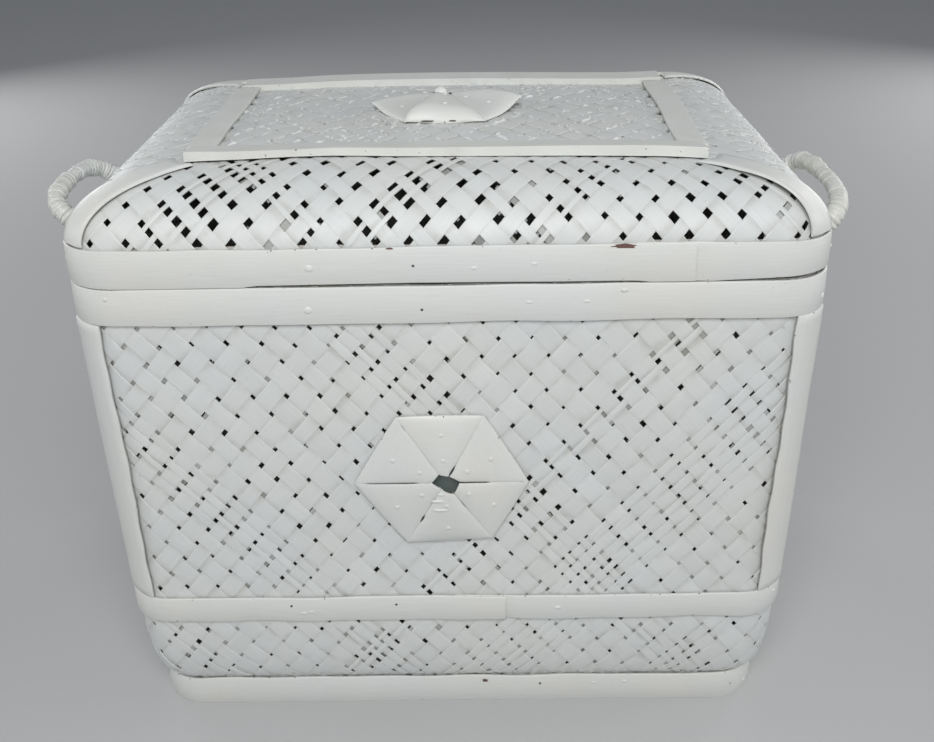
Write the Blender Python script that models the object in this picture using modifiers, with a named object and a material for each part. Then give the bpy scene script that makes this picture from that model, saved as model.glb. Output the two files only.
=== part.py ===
"""Painted woven splint hamper with a lift-off lid.

X is the width, Y the depth with the front at -Y, and Z is up. The hamper stands on Z = 0.
Each woven panel is a thin shell. Flat splint bands, corner strips, lid laths and the
pieces of the two hexagonal rosettes are separate solids fastened over the weave.
"""

import math

import bmesh
import bpy
from mathutils import Vector

HAMPER = "woven_hamper"

# Overall sizes, in metres.
WIDTH = 0.500
DEPTH = 0.370
CORNER_RADIUS = 0.035
GAP = 0.0003
MITRE_GAP = 0.0010

# Thickness of the woven sheet and of the splints over it.
WEAVE = 0.0020
BAND = 0.0025
HOOP = 0.0030
COLLAR = 0.0022
STRIP = 0.0020
WEAVE_INSET = BAND + GAP

# Heights of the bands on the basket.
FOOT_TOP = 0.0237
WAIST_BOTTOM = 0.0880
WAIST_TOP = 0.1085
RIM_BOTTOM = 0.3300
RIM_TOP = 0.3555
WALL_BOTTOM = 0.0040
WALL_TOP = 0.3552

# How far the basket draws in below its rim, and the bowl under the waist band.
WAIST_INSET = 0.0050
FOOT_INSET = 0.0170
BOWL_INSET = 0.0140
BOWL_END = 0.0275
TUCK_END = 0.0242

# Floor of the basket.
FLOOR_BOTTOM = 0.0120
SLAT_BOTTOM = 0.0064
SLAT_THICK = 0.0050
SLAT_WIDTH = 0.0300
SLAT_SPREAD = 0.1500

# Collar inside the rim that locates the lid.
COLLAR_BOTTOM = 0.3350
COLLAR_TOP = 0.3690

# Lid.
LID_BOTTOM = RIM_TOP + GAP
LID_BAND_TOP = 0.3815
LID_TOP = 0.4195
LID_FLAT_X = 0.1760
LID_FLAT_Y = 0.1240
LID_FLAT_RADIUS = 0.0040
LID_CROWN = 0.0060
LID_HOOP = 0.0023

# Laths that frame the top of the lid.
FRAME_X = 0.1737
FRAME_Y = 0.1216
LATH_WIDTH = 0.0240
SIDE_LATH_WIDTH = 0.0190
SIDE_LATH_OUT = 0.0040  # the side laths reach this far past the ends of the others
LATH_THICK = 0.0055
SIDE_LATH_THICK = 0.0042

# Corner strips.
POST_WIDTH = 0.0300
POST_RADIUS = 0.0450
POST_THICK = 0.0026
HIP_WIDTH = 0.0220
HIP_FLATNESS = 0.55
INNER_POST_SPREAD = 24

# Hexagonal rosettes.
PETAL = 0.0016
SEAM = 0.0005
ROSETTE_HOLE = 0.10
CONE_CURVE = 0.8
PUFF_SHIFT = 0.08
FRONT_ROSETTE = dict(radius=0.0590, rise=0.0070, corner=0.0, puff=0.0015)
FRONT_ROSETTE_CENTRE = (-0.0020, 0.2110)
LID_ROSETTE = dict(radius=0.0570, rise=0.0080, corner=0.0040, puff=0.0035)
LID_ROSETTE_CENTRE = (-0.0020, 0.0080)
BUTTON_RADIUS = 0.0045

# Cane handles on the ends of the lid: the middle of each one's span, its half span, and where
# its ends are. It rises from them at this tilt.
HANDLES = {
    "left": dict(
        sign=-1, y=-0.0940, half_span=0.0505, height=0.0162, tilt=36.0, x=0.2482, z=0.3934
    ),
    "right": dict(
        sign=1, y=-0.0850, half_span=0.0600, height=0.0146, tilt=51.6, x=0.2522, z=0.3844
    ),
}
HANDLE_FULLNESS = 0.78
CORE_RADIUS = 0.0032
WRAP_RADIUS = 0.0052
WRAP_THICK = 0.0015
LASHING_RADIUS = 0.0066
LASHING_THICK = 0.0028
LASHING_SHARE = 0.11
LASHING_MARGIN = 0.02

SHARP_ANGLE = math.radians(35)
DIAGONAL = math.sqrt(0.5)
SLOPE_STEP = 0.01

CORNER_STEPS = 3
SIDES = {"right": 0, "back": 90, "left": 180, "front": 270}
CORNERS = {
    "front_left": (-1, -1),
    "front_right": (1, -1),
    "back_left": (-1, 1),
    "back_right": (1, 1),
}

PAINT = (0.62, 0.64, 0.61, 1.0)
PAINT_SHADE = {
    "weave": 0.94,
    "band": 1.0,
    "lath": 1.03,
    "petal": 0.98,
    "cane": 0.97,
    "inside": 0.88,
}


# Materials and objects -----------------------------------------------------------------


def clear_scene():
    for thing in list(bpy.data.objects):
        bpy.data.objects.remove(thing, do_unlink=True)


def new_collection(name):
    collection = bpy.data.collections.new(name)
    bpy.context.scene.collection.children.link(collection)
    return collection


def paint(name, kind):
    """The painted finish of one piece: off-white, a little darker in the weave and inside."""
    material = bpy.data.materials.new(name + "_paint")
    material.use_nodes = True
    shader = material.node_tree.nodes["Principled BSDF"]
    shade = PAINT_SHADE[kind]
    shader.inputs["Base Color"].default_value = [shade * value for value in PAINT[:3]] + [1.0]
    shader.inputs["Roughness"].default_value = 0.42
    shader.inputs["Metallic"].default_value = 0.0
    return material


def new_object(name, data, parent, kind):
    piece = bpy.data.objects.new(name, data)
    bpy.data.collections[HAMPER].objects.link(piece)
    piece.parent = parent
    data.materials.append(paint(name, kind))
    return piece


def body_empty(name, centre_y):
    empty = bpy.data.objects.new(name, None)
    empty.location.y = centre_y
    bpy.data.collections[HAMPER].objects.link(empty)
    return empty


def sheet(name, rows, thickness, parent, kind, closed=False):
    """A thin piece. Its rows of points lie on its outer face, and it is thickened behind them."""
    across, along = len(rows[0]), len(rows)
    form = bmesh.new()
    bmesh.ops.create_grid(form, x_segments=across - 1, y_segments=along - 1, size=0.5)
    for vert in form.verts:
        column = round((vert.co.x + 0.5) * (across - 1))
        row = round((vert.co.y + 0.5) * (along - 1))
        vert.co = rows[row][column]
    if closed:
        bmesh.ops.remove_doubles(form, verts=form.verts, dist=1e-6)
    mesh = bpy.data.meshes.new(name)
    form.to_mesh(mesh)
    form.free()
    mesh.shade_smooth()
    piece = new_object(name, mesh, parent, kind)
    solidify = piece.modifiers.new("thickness", "SOLIDIFY")
    solidify.thickness = thickness
    solidify.offset = -1
    solidify.use_even_offset = True
    mesh.set_sharp_from_angle(angle=SHARP_ANGLE)
    return piece


def box(name, low, high, parent, kind):
    form = bmesh.new()
    bmesh.ops.create_cube(form, size=1.0)
    low, high = Vector(low), Vector(high)
    for vert in form.verts:
        vert.co = (low + high) / 2 + Vector([a * b for a, b in zip(vert.co, high - low)])
    mesh = bpy.data.meshes.new(name)
    form.to_mesh(mesh)
    form.free()
    return new_object(name, mesh, parent, kind)


def plate(name, outline, bottom, thickness, parent, kind):
    """A flat plate with this outline."""
    curve = bpy.data.curves.new(name, "CURVE")
    curve.dimensions = "2D"
    curve.fill_mode = "BOTH"
    curve.extrude = thickness / 2
    spline = curve.splines.new("POLY")
    spline.points.add(len(outline) - 1)
    for point, (x, y) in zip(spline.points, outline):
        point.co = (x, y, 0.0, 1.0)
    spline.use_cyclic_u = True
    piece = new_object(name, curve, parent, kind)
    piece.location.z = bottom + thickness / 2
    return piece


# Plan outlines -------------------------------------------------------------------------


def side_outline(turn, half_x, half_y, radius, gap=0.0):
    """One side of a rounded rectangle, from the middle of one corner to the middle of the next."""
    out, across = (half_x, half_y) if turn in (0, 180) else (half_y, half_x)
    trim = math.asin(gap / 2 / radius)
    points = []
    for sign in (-1, 1):
        start, end = (-math.pi / 4 + trim, 0) if sign < 0 else (0, math.pi / 4 - trim)
        for step in range(CORNER_STEPS + 1):
            angle = start + (end - start) * step / CORNER_STEPS
            points.append(
                (
                    out - radius + radius * math.cos(angle),
                    sign * (across - radius) + radius * math.sin(angle),
                )
            )
    cosine, sine = round(math.cos(math.radians(turn))), round(math.sin(math.radians(turn)))
    return [(o * cosine - a * sine, o * sine + a * cosine) for o, a in points]


def outline(half_x, half_y, radius):
    """The whole rounded rectangle, anticlockwise, ending where it starts."""
    points = []
    for turn in (0, 90, 180, 270):
        side = side_outline(turn, half_x, half_y, radius)
        points += side if not points else side[1:]
    points[-1] = points[0]
    return points


def layer(inset, inward):
    """Half sizes and corner radius of a layer that far inside the outer faces of the bands."""
    return (
        WIDTH / 2 - inset - inward,
        DEPTH / 2 - inset - inward,
        CORNER_RADIUS - inward,
    )


# Basket --------------------------------------------------------------------------------


def wall_inset(z):
    """How far the woven wall lies inside its own line at the rim."""
    if z >= RIM_BOTTOM:
        return 0.0
    if z >= WAIST_TOP:
        return WAIST_INSET * (RIM_BOTTOM - z) / (RIM_BOTTOM - WAIST_TOP)
    if z >= WAIST_BOTTOM:
        return WAIST_INSET
    if z >= BOWL_END:
        down = (WAIST_BOTTOM - z) / (WAIST_BOTTOM - BOWL_END)
        return WAIST_INSET + (BOWL_INSET - WAIST_INSET) * (1 - math.sqrt(1 - down * down))
    tuck = min(1.0, (BOWL_END - z) / (BOWL_END - TUCK_END))
    return BOWL_INSET + (FOOT_INSET - BOWL_INSET) * tuck


def wall_heights():
    bowl_steps = 4
    bowl = [
        WAIST_BOTTOM - (WAIST_BOTTOM - BOWL_END) * math.sin(math.pi / 2 * step / bowl_steps)
        for step in range(bowl_steps, 0, -1)
    ]
    return [WALL_BOTTOM, TUCK_END] + bowl + [WAIST_BOTTOM, WAIST_TOP, RIM_BOTTOM, WALL_TOP]


def wall(side, basket):
    rows = [
        [
            Vector((x, y, z))
            for x, y in side_outline(
                SIDES[side], *layer(wall_inset(z), WEAVE_INSET), gap=MITRE_GAP
            )
        ]
        for z in wall_heights()
    ]
    sheet(side + "_wall_weave", rows, WEAVE, basket, "weave")


def hoop(name, inset, inward, bottom, top, thickness, parent, kind):
    ring = outline(*layer(inset, inward))
    rows = [[Vector((x, y, z)) for x, y in ring] for z in (bottom, top)]
    sheet(name, rows, thickness, parent, kind, closed=True)


def basket_hoops(basket):
    behind_weave = WEAVE_INSET + WEAVE + GAP
    behind_hoop = behind_weave + HOOP + GAP
    hoop("rim_band_outer", 0.0, 0.0, RIM_BOTTOM, RIM_TOP, BAND, basket, "band")
    hoop("rim_band_inner", 0.0, behind_weave, RIM_BOTTOM, WALL_TOP, HOOP, basket, "inside")
    hoop("lid_collar", 0.0, behind_hoop, COLLAR_BOTTOM, COLLAR_TOP, COLLAR, basket, "inside")
    hoop("waist_band", WAIST_INSET, 0.0, WAIST_BOTTOM, WAIST_TOP, BAND, basket, "band")
    hoop("foot_band", FOOT_INSET, 0.0, 0.0, FOOT_TOP, BAND, basket, "band")
    floor_top = FLOOR_BOTTOM - GAP
    hoop("foot_band_inner", FOOT_INSET, behind_weave, WALL_BOTTOM, floor_top, BAND, basket, "inside")


def floor(basket):
    inward = WEAVE_INSET + WEAVE + GAP
    plate(
        "bottom_weave",
        outline(*layer(FOOT_INSET, inward))[:-1],
        FLOOR_BOTTOM,
        WEAVE,
        basket,
        "inside",
    )
    reach = DEPTH / 2 - FOOT_INSET - inward - BAND - GAP
    for number, x in enumerate((-SLAT_SPREAD, 0.0, SLAT_SPREAD), 1):
        box(
            f"base_slat_{number}",
            (x - SLAT_WIDTH / 2, -reach, SLAT_BOTTOM),
            (x + SLAT_WIDTH / 2, reach, SLAT_BOTTOM + SLAT_THICK),
            basket,
            "inside",
        )


def corner_row(signs, half_x, half_y, radius, bend_radius, proud, spread, steps):
    """A row across a strip bent round a corner. Its middle stands proud of that corner."""
    sign_x, sign_y = signs
    middle = radius + proud - bend_radius
    centre_x = half_x - radius + middle * DIAGONAL
    centre_y = half_y - radius + middle * DIAGONAL
    row = []
    for step in range(steps + 1):
        angle = math.pi / 4 + spread * (2 * step / steps - 1)
        x = centre_x + bend_radius * math.cos(angle)
        y = centre_y + bend_radius * math.sin(angle)
        row.append((sign_x * x, sign_y * y))
    return row if sign_x * sign_y > 0 else row[::-1]


def corner_posts(basket):
    bottom, top = WAIST_TOP + GAP, RIM_BOTTOM - GAP
    for corner, signs in CORNERS.items():
        outer, inner = [], []
        for z in (bottom, top):
            size = layer(wall_inset(z), WEAVE_INSET)
            spread = POST_WIDTH / 2 / POST_RADIUS
            row = corner_row(signs, *size, POST_RADIUS, GAP + POST_THICK, spread, 4)
            outer.append([Vector((x, y, z)) for x, y in row])
            bend = CORNER_RADIUS - WEAVE_INSET - WEAVE - GAP
            spread = math.radians(INNER_POST_SPREAD)
            row = corner_row(signs, *size, bend, -WEAVE - GAP, spread, 4)
            inner.append([Vector((x, y, z)) for x, y in row])
        sheet(corner + "_post", outer, POST_THICK, basket, "band")
        sheet(corner + "_inner_post", inner, STRIP, basket, "inside")


# Rosettes ------------------------------------------------------------------------------


def rosette(prefix, form, place, parent):
    """Six petals of a hexagon with points left and right. place(across, up, out) puts each point."""
    radius = form["radius"]
    corners = [
        Vector((math.cos(math.radians(60 * k)), math.sin(math.radians(60 * k)))) * radius
        for k in range(7)
    ]
    across_steps, along_steps = 4, 3
    for number in range(6):
        first, second = corners[number], corners[number + 1]
        side = (second - first).normalized()
        rows = []
        for along in range(along_steps + 1):
            share = 1 - (1 - ROSETTE_HOLE) * along / along_steps
            row = []
            for step in range(across_steps + 1):
                u = step / across_steps
                flat = share * (first + (second - first) * u)
                flat -= side * SEAM * (2 * u - 1) / math.sin(math.radians(60))
                arch = 4 * u * (1 - u)
                height = (
                    GAP
                    + PETAL
                    + form["rise"] * (1 - share) ** CONE_CURVE
                    + form["corner"] * (1 - arch) * share
                    + form["puff"] * arch * math.sin(math.pi * min(1.0, 1 - share + PUFF_SHIFT))
                )
                row.append(place(flat.x, flat.y, height))
            rows.append(row)
        sheet(f"{prefix}_petal_{number + 1}", rows, PETAL, parent, "petal")


def front_rosette(basket):
    centre_x, centre_z = FRONT_ROSETTE_CENTRE
    lean = WAIST_INSET / (RIM_BOTTOM - WAIST_TOP)
    up = Vector((0, -lean, 1)).normalized()
    right = Vector((1, 0, 0))
    out = right.cross(up)
    face_y = -(DEPTH / 2 - WEAVE_INSET - wall_inset(centre_z))
    centre = Vector((centre_x, face_y, centre_z))
    rosette("front_rosette", FRONT_ROSETTE, lambda a, b, c: centre + right * a + up * b + out * c, basket)


def lid_rosette(lid):
    centre_x, centre_y = LID_ROSETTE_CENTRE
    base = LID_TOP + LID_CROWN
    centre = Vector((centre_x, centre_y, base))
    rosette("lid_rosette", LID_ROSETTE, lambda a, b, c: centre + Vector((a, b, c)), lid)
    form = bmesh.new()
    bmesh.ops.create_uvsphere(form, u_segments=12, v_segments=6, radius=BUTTON_RADIUS)
    mesh = bpy.data.meshes.new("lid_rosette_button")
    form.to_mesh(mesh)
    form.free()
    mesh.shade_smooth()
    button = new_object("lid_rosette_button", mesh, lid, "petal")
    button.location = (centre_x, centre_y, base + GAP + BUTTON_RADIUS)


# Lid -----------------------------------------------------------------------------------


def dome_layer(angle):
    """Half sizes, corner radius and height of the lid's shoulder, from upright to flat."""
    half_x, half_y, radius = layer(0.0, WEAVE_INSET)
    share = 1 - math.cos(angle)
    return (
        half_x - (half_x - LID_FLAT_X) * share,
        half_y - (half_y - LID_FLAT_Y) * share,
        radius + (LID_FLAT_RADIUS - radius) * math.sin(angle) ** 2,
        LID_BAND_TOP + (LID_TOP - LID_BAND_TOP) * math.sin(angle),
    )


def crown(x, y):
    """Height of the slightly domed top of the lid."""
    rise = math.cos(math.pi / 2 * x / LID_FLAT_X) * math.cos(math.pi / 2 * y / LID_FLAT_Y)
    return LID_TOP + LID_CROWN * max(0.0, rise)


def lid_slopes(lid):
    dome_steps = 6
    for side, turn in SIDES.items():
        half_x, half_y, radius = layer(0.0, WEAVE_INSET)
        low = side_outline(turn, half_x, half_y, radius, gap=MITRE_GAP)
        rows = [[Vector((x, y, LID_BOTTOM)) for x, y in low]]
        for step in range(dome_steps + 1):
            half_x, half_y, radius, z = dome_layer(math.pi / 2 * step / dome_steps)
            row = side_outline(turn, half_x, half_y, radius, gap=MITRE_GAP)
            rows.append([Vector((x, y, z)) for x, y in row])
        sheet(f"lid_{side}_weave", rows, WEAVE, lid, "weave")


def lid_top(lid):
    steps_x, steps_y = 8, 8
    half_x, half_y = LID_FLAT_X - MITRE_GAP, LID_FLAT_Y - MITRE_GAP
    rows = []
    for row in range(steps_y + 1):
        y = half_y * (2 * row / steps_y - 1)
        xs = [half_x * (2 * column / steps_x - 1) for column in range(steps_x + 1)]
        rows.append([Vector((x, y, crown(x, y))) for x in xs])
    sheet("lid_top_weave", rows, WEAVE, lid, "weave")


def lath(name, low, high, thickness, along_x, lid):
    """A lath on the top of the lid, bowed with the crown under its inner edge."""
    steps = 8
    (x0, y0), (x1, y1) = low, high
    inner_x = x1 if abs(x1) < abs(x0) else x0
    inner_y = y1 if abs(y1) < abs(y0) else y0
    rows = []
    for y in (y0, y1) if along_x else [y0 + (y1 - y0) * k / steps for k in range(steps + 1)]:
        xs = [x0 + (x1 - x0) * k / steps for k in range(steps + 1)] if along_x else (x0, x1)
        row = []
        for x in xs:
            under = crown(x, inner_y) if along_x else crown(inner_x, y)
            row.append(Vector((x, y, under + GAP + thickness)))
        rows.append(row)
    sheet(name, rows, thickness, lid, "lath")


def lid_frame(lid):
    inner_y = FRAME_Y - LATH_WIDTH
    outer_x = FRAME_X + SIDE_LATH_OUT
    inner_x = outer_x - SIDE_LATH_WIDTH
    thick, thin = LATH_THICK, SIDE_LATH_THICK
    lath("lid_frame_front", (-FRAME_X, -FRAME_Y), (FRAME_X, -inner_y), thick, True, lid)
    lath("lid_frame_back", (-FRAME_X, inner_y), (FRAME_X, FRAME_Y), thick, True, lid)
    reach = inner_y - GAP
    lath("lid_frame_left", (-outer_x, -reach), (-inner_x, reach), thin, False, lid)
    lath("lid_frame_right", (inner_x, -reach), (outer_x, reach), thin, False, lid)


def corner_fall(radius, lateral):
    """How far a rounded corner falls back at this distance to the side of its middle."""
    limit = radius * DIAGONAL
    if lateral <= limit:
        return radius - math.sqrt(radius * radius - lateral * lateral)
    return radius - limit + lateral - limit


def hip_strips(lid):
    """Splints over the four hips of the lid. They bend less than the weave, so their edges lift."""
    first, last, steps, columns = 2.0, 87.0, 8, 4
    for corner, (sign_x, sign_y) in CORNERS.items():
        outward = Vector((sign_x * DIAGONAL, sign_y * DIAGONAL, 0))
        sideways = Vector((-sign_y * DIAGONAL, sign_x * DIAGONAL, 0))

        def ridge(angle):
            half_x, half_y, radius, z = dome_layer(angle)
            fall = radius * (1 - DIAGONAL)
            return Vector((sign_x * (half_x - fall), sign_y * (half_y - fall), z)), radius

        rows = []
        for step in range(steps + 1):
            angle = math.radians(first + (last - first) * step / steps)
            middle, radius = ridge(angle)
            tangent = ridge(angle + SLOPE_STEP)[0] - ridge(angle - SLOPE_STEP)[0]
            normal = sideways.cross(tangent).normalized()
            row = []
            for column in range(columns + 1):
                lateral = HIP_WIDTH * (column / columns - 0.5)
                fall = HIP_FLATNESS * corner_fall(radius, abs(lateral))
                row.append(middle + normal * (GAP + STRIP) + sideways * lateral - outward * fall)
            rows.append(row)
        sheet("lid_hip_" + corner, rows, STRIP, lid, "band")


def lid_hoops(lid):
    hoop("lid_band_outer", 0.0, 0.0, LID_BOTTOM, LID_BAND_TOP, BAND, lid, "band")
    behind_weave = WEAVE_INSET + WEAVE + GAP
    hoop("lid_band_inner", 0.0, behind_weave, LID_BOTTOM, LID_BAND_TOP, LID_HOOP, lid, "inside")


# Handles -------------------------------------------------------------------------------


def handle_point(form, angle):
    """A point on the middle line of a handle, from its front end at 0 to its back end at pi."""
    tilt = math.radians(form["tilt"])
    along = math.copysign(abs(math.cos(angle)) ** HANDLE_FULLNESS, -math.cos(angle))
    rise = form["height"] * abs(math.sin(angle)) ** HANDLE_FULLNESS
    return Vector(
        (
            form["sign"] * (form["x"] + rise * math.cos(tilt)),
            form["y"] + form["half_span"] * along,
            form["z"] + rise * math.sin(tilt),
        )
    )


def tube(name, form, start, end, steps, radius, thickness, lid):
    """A hollow sleeve round a stretch of the handle."""
    sides = 8
    tilt = math.radians(form["tilt"])
    plane = Vector((-form["sign"] * math.sin(tilt), 0, math.cos(tilt)))
    rows = []
    for step in range(steps + 1):
        angle = start + (end - start) * step / steps
        middle = handle_point(form, angle)
        before, after = angle - SLOPE_STEP, angle + SLOPE_STEP
        tangent = (handle_point(form, after) - handle_point(form, before)).normalized()
        normal = tangent.cross(plane).normalized()
        row = []
        for side in range(sides + 1):
            turn = 2 * math.pi * side / sides
            row.append(middle + radius * (normal * math.cos(turn) + plane * math.sin(turn)))
        row[-1] = row[0]
        rows.append(row)
    sheet(name, rows[::-1], thickness, lid, "cane", closed=True)


def handle_core(name, form, lid):
    steps = 18
    curve = bpy.data.curves.new(name, "CURVE")
    curve.dimensions = "3D"
    curve.bevel_depth = CORE_RADIUS
    curve.bevel_resolution = 2
    curve.use_fill_caps = True
    spline = curve.splines.new("POLY")
    spline.points.add(steps)
    for step, point in enumerate(spline.points):
        point.co = (*handle_point(form, math.pi * step / steps), 1.0)
    return new_object(name, curve, lid, "cane")


def handles(lid):
    first, last = math.pi * LASHING_SHARE, math.pi * (1 - LASHING_SHARE)
    for side, form in HANDLES.items():
        handle_core(side + "_handle_core", form, lid)
        tube(side + "_handle_wrap", form, first, last, 16, WRAP_RADIUS, WRAP_THICK, lid)
        for end, start, stop in (
            ("front", LASHING_MARGIN, first - LASHING_MARGIN),
            ("back", last + LASHING_MARGIN, math.pi - LASHING_MARGIN),
        ):
            name = f"{side}_handle_{end}_lashing"
            tube(name, form, start, stop, 3, LASHING_RADIUS, LASHING_THICK, lid)


# Assembly ------------------------------------------------------------------------------

def main():
    clear_scene()
    new_collection(HAMPER)
    rosette_top = GAP + PETAL + FRONT_ROSETTE["rise"]
    overhang = rosette_top - WEAVE_INSET - wall_inset(FRONT_ROSETTE_CENTRE[1])
    centre_y = max(0.0, overhang) / 2
    basket = body_empty("basket", centre_y)
    lid = body_empty("lid", centre_y)
    for side in SIDES:
        wall(side, basket)
    basket_hoops(basket)
    floor(basket)
    corner_posts(basket)
    front_rosette(basket)
    lid_slopes(lid)
    lid_top(lid)
    lid_hoops(lid)
    lid_frame(lid)
    hip_strips(lid)
    lid_rosette(lid)
    handles(lid)


main()
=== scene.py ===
"""Looks of the painted splint hamper: real crossed splints, bands, rosettes, cane and worn paint."""

import math
import zlib

import bpy
import numpy as np
from mathutils import Matrix, Vector


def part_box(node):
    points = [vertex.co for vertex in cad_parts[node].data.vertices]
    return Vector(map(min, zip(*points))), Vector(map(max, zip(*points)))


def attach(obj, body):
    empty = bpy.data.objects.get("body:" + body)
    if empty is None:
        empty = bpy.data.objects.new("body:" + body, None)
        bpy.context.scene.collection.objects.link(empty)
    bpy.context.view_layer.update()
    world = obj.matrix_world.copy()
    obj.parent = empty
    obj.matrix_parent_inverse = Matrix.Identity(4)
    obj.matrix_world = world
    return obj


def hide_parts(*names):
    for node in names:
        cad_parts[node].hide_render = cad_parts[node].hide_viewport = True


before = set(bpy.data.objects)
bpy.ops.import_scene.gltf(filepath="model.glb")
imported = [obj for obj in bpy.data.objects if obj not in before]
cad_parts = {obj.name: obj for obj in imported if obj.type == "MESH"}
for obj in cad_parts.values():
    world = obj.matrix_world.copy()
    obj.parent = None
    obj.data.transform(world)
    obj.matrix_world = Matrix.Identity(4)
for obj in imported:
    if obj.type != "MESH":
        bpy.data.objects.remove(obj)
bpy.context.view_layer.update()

# Places read from the frame ------------------------------------------------------------


def heights(node):
    low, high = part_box(node)
    return low.z, high.z


rim_low, rim_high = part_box("rim_band_outer")
MID_Y = (rim_low.y + rim_high.y) / 2
HALF_X = (rim_high.x - rim_low.x) / 2
HALF_Y = (rim_high.y - rim_low.y) / 2
CORNER = 0.035
RIM_BOTTOM, RIM_TOP = heights("rim_band_outer")
WAIST_BOTTOM, WAIST_TOP = heights("waist_band")
FOOT_TOP = heights("foot_band")[1]
WALL_BOTTOM, WALL_TOP = heights("front_wall_weave")
WAIST_INSET = HALF_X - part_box("waist_band")[1].x
FOOT_INSET = HALF_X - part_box("foot_band")[1].x
LID_BOTTOM, LID_BAND_TOP = heights("lid_band_outer")
LID_TOP = heights("lid_front_weave")[1]
LID_CROWN = heights("lid_top_weave")[1] - LID_TOP
MITRE_GAP = 0.001
FLAT_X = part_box("lid_top_weave")[1].x + MITRE_GAP
FLAT_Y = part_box("lid_top_weave")[1].y - MID_Y + MITRE_GAP
FRAME_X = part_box("lid_frame_front")[1].x
FRAME_Y = MID_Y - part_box("lid_frame_front")[0].y
LATH_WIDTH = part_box("lid_frame_front")[1].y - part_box("lid_frame_front")[0].y
INNER_Y = FRAME_Y - LATH_WIDTH
SIDE_INNER, SIDE_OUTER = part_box("lid_frame_right")[0].x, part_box("lid_frame_right")[1].x
BAND = 0.0025
GAP = 0.0003
WEAVE = 0.0020
BOWL_INSET, BOWL_END, TUCK_END = 0.0140, 0.0275, 0.0242
FLAT_RADIUS = 0.004

# The weave: the middle of the woven sheet, and the steepness of its splints.
WEAVE_DEPTH = BAND + GAP + WEAVE / 2
REF_X, REF_Y, REF_R = HALF_X - WEAVE_DEPTH, HALF_Y - WEAVE_DEPTH, CORNER - WEAVE_DEPTH
STEEP = 1.18
CELL = 0.02246
SPLINT = 0.0011


def randoms(name):
    """The piece's own random numbers, the same in each run."""
    return np.random.default_rng(zlib.crc32(name.encode()))


# Meshes --------------------------------------------------------------------------------


class Form:
    """Points, faces and point attributes gathered for one mesh."""

    def __init__(self):
        self.points, self.faces, self.size = [], [], 0
        self.marks = {"grain": [], "worn": [], "inner": [], "tone": [], "sunk": []}

    def add(self, points, faces, **marks):
        points = np.asarray(points, float).reshape(-1, 3)
        shift = self.size
        self.faces += [[shift + int(i) for i in face] for face in faces]
        self.points.append(points)
        for mark, values in self.marks.items():
            blank = np.zeros((len(points), 3) if mark == "grain" else len(points))
            values.append(np.broadcast_to(marks.get(mark, blank), blank.shape).astype(float))
        self.size += len(points)

    def piece(self, name, material, body, slot, *nodes, sharp=50):
        """The mesh object, which rides on a body and stands for these nodes of the frame."""
        mesh = bpy.data.meshes.new(name)
        mesh.from_pydata(np.concatenate(self.points), [], self.faces)
        for mark, values in self.marks.items():
            kind, field = ("FLOAT_VECTOR", "vector") if mark == "grain" else ("FLOAT", "value")
            attribute = mesh.attributes.new(mark, kind, "POINT")
            attribute.data.foreach_set(field, np.concatenate(values).astype(np.float32).ravel())
        mesh.shade_smooth()
        mesh.set_sharp_from_angle(angle=math.radians(sharp))
        mesh.materials.append(material)
        piece = bpy.data.objects.new(name, mesh)
        bpy.context.scene.collection.objects.link(piece)
        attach(piece, body)
        if nodes:
            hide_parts(*nodes)


def signed_volume(points, faces):
    total = 0.0
    for face in faces:
        corner = points[face[0]]
        for a, b in zip(face[1:-1], face[2:]):
            total += np.dot(corner, np.cross(points[a], points[b]))
    return total


def unit(vectors):
    return vectors / (np.linalg.norm(vectors, axis=-1, keepdims=True) + 1e-12)


def tube_faces(rings, sides):
    """Faces between rings of this many points, with a cap at each end."""
    faces = []
    for low in range(0, (rings - 1) * sides, sides):
        for k in range(sides):
            nxt = (k + 1) % sides
            faces.append([low + k, low + nxt, low + sides + nxt, low + sides + k])
    last = (rings - 1) * sides
    return [*faces, list(range(sides))[::-1], list(range(last, last + sides))]


def outward(points, faces):
    """The faces, turned over if they face inwards."""
    sample = np.asarray(points).reshape(-1, 3)
    sample = sample - sample.mean(0)
    return faces if signed_volume(sample, faces) > 0 else [face[::-1] for face in faces]


# Materials -----------------------------------------------------------------------------


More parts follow.
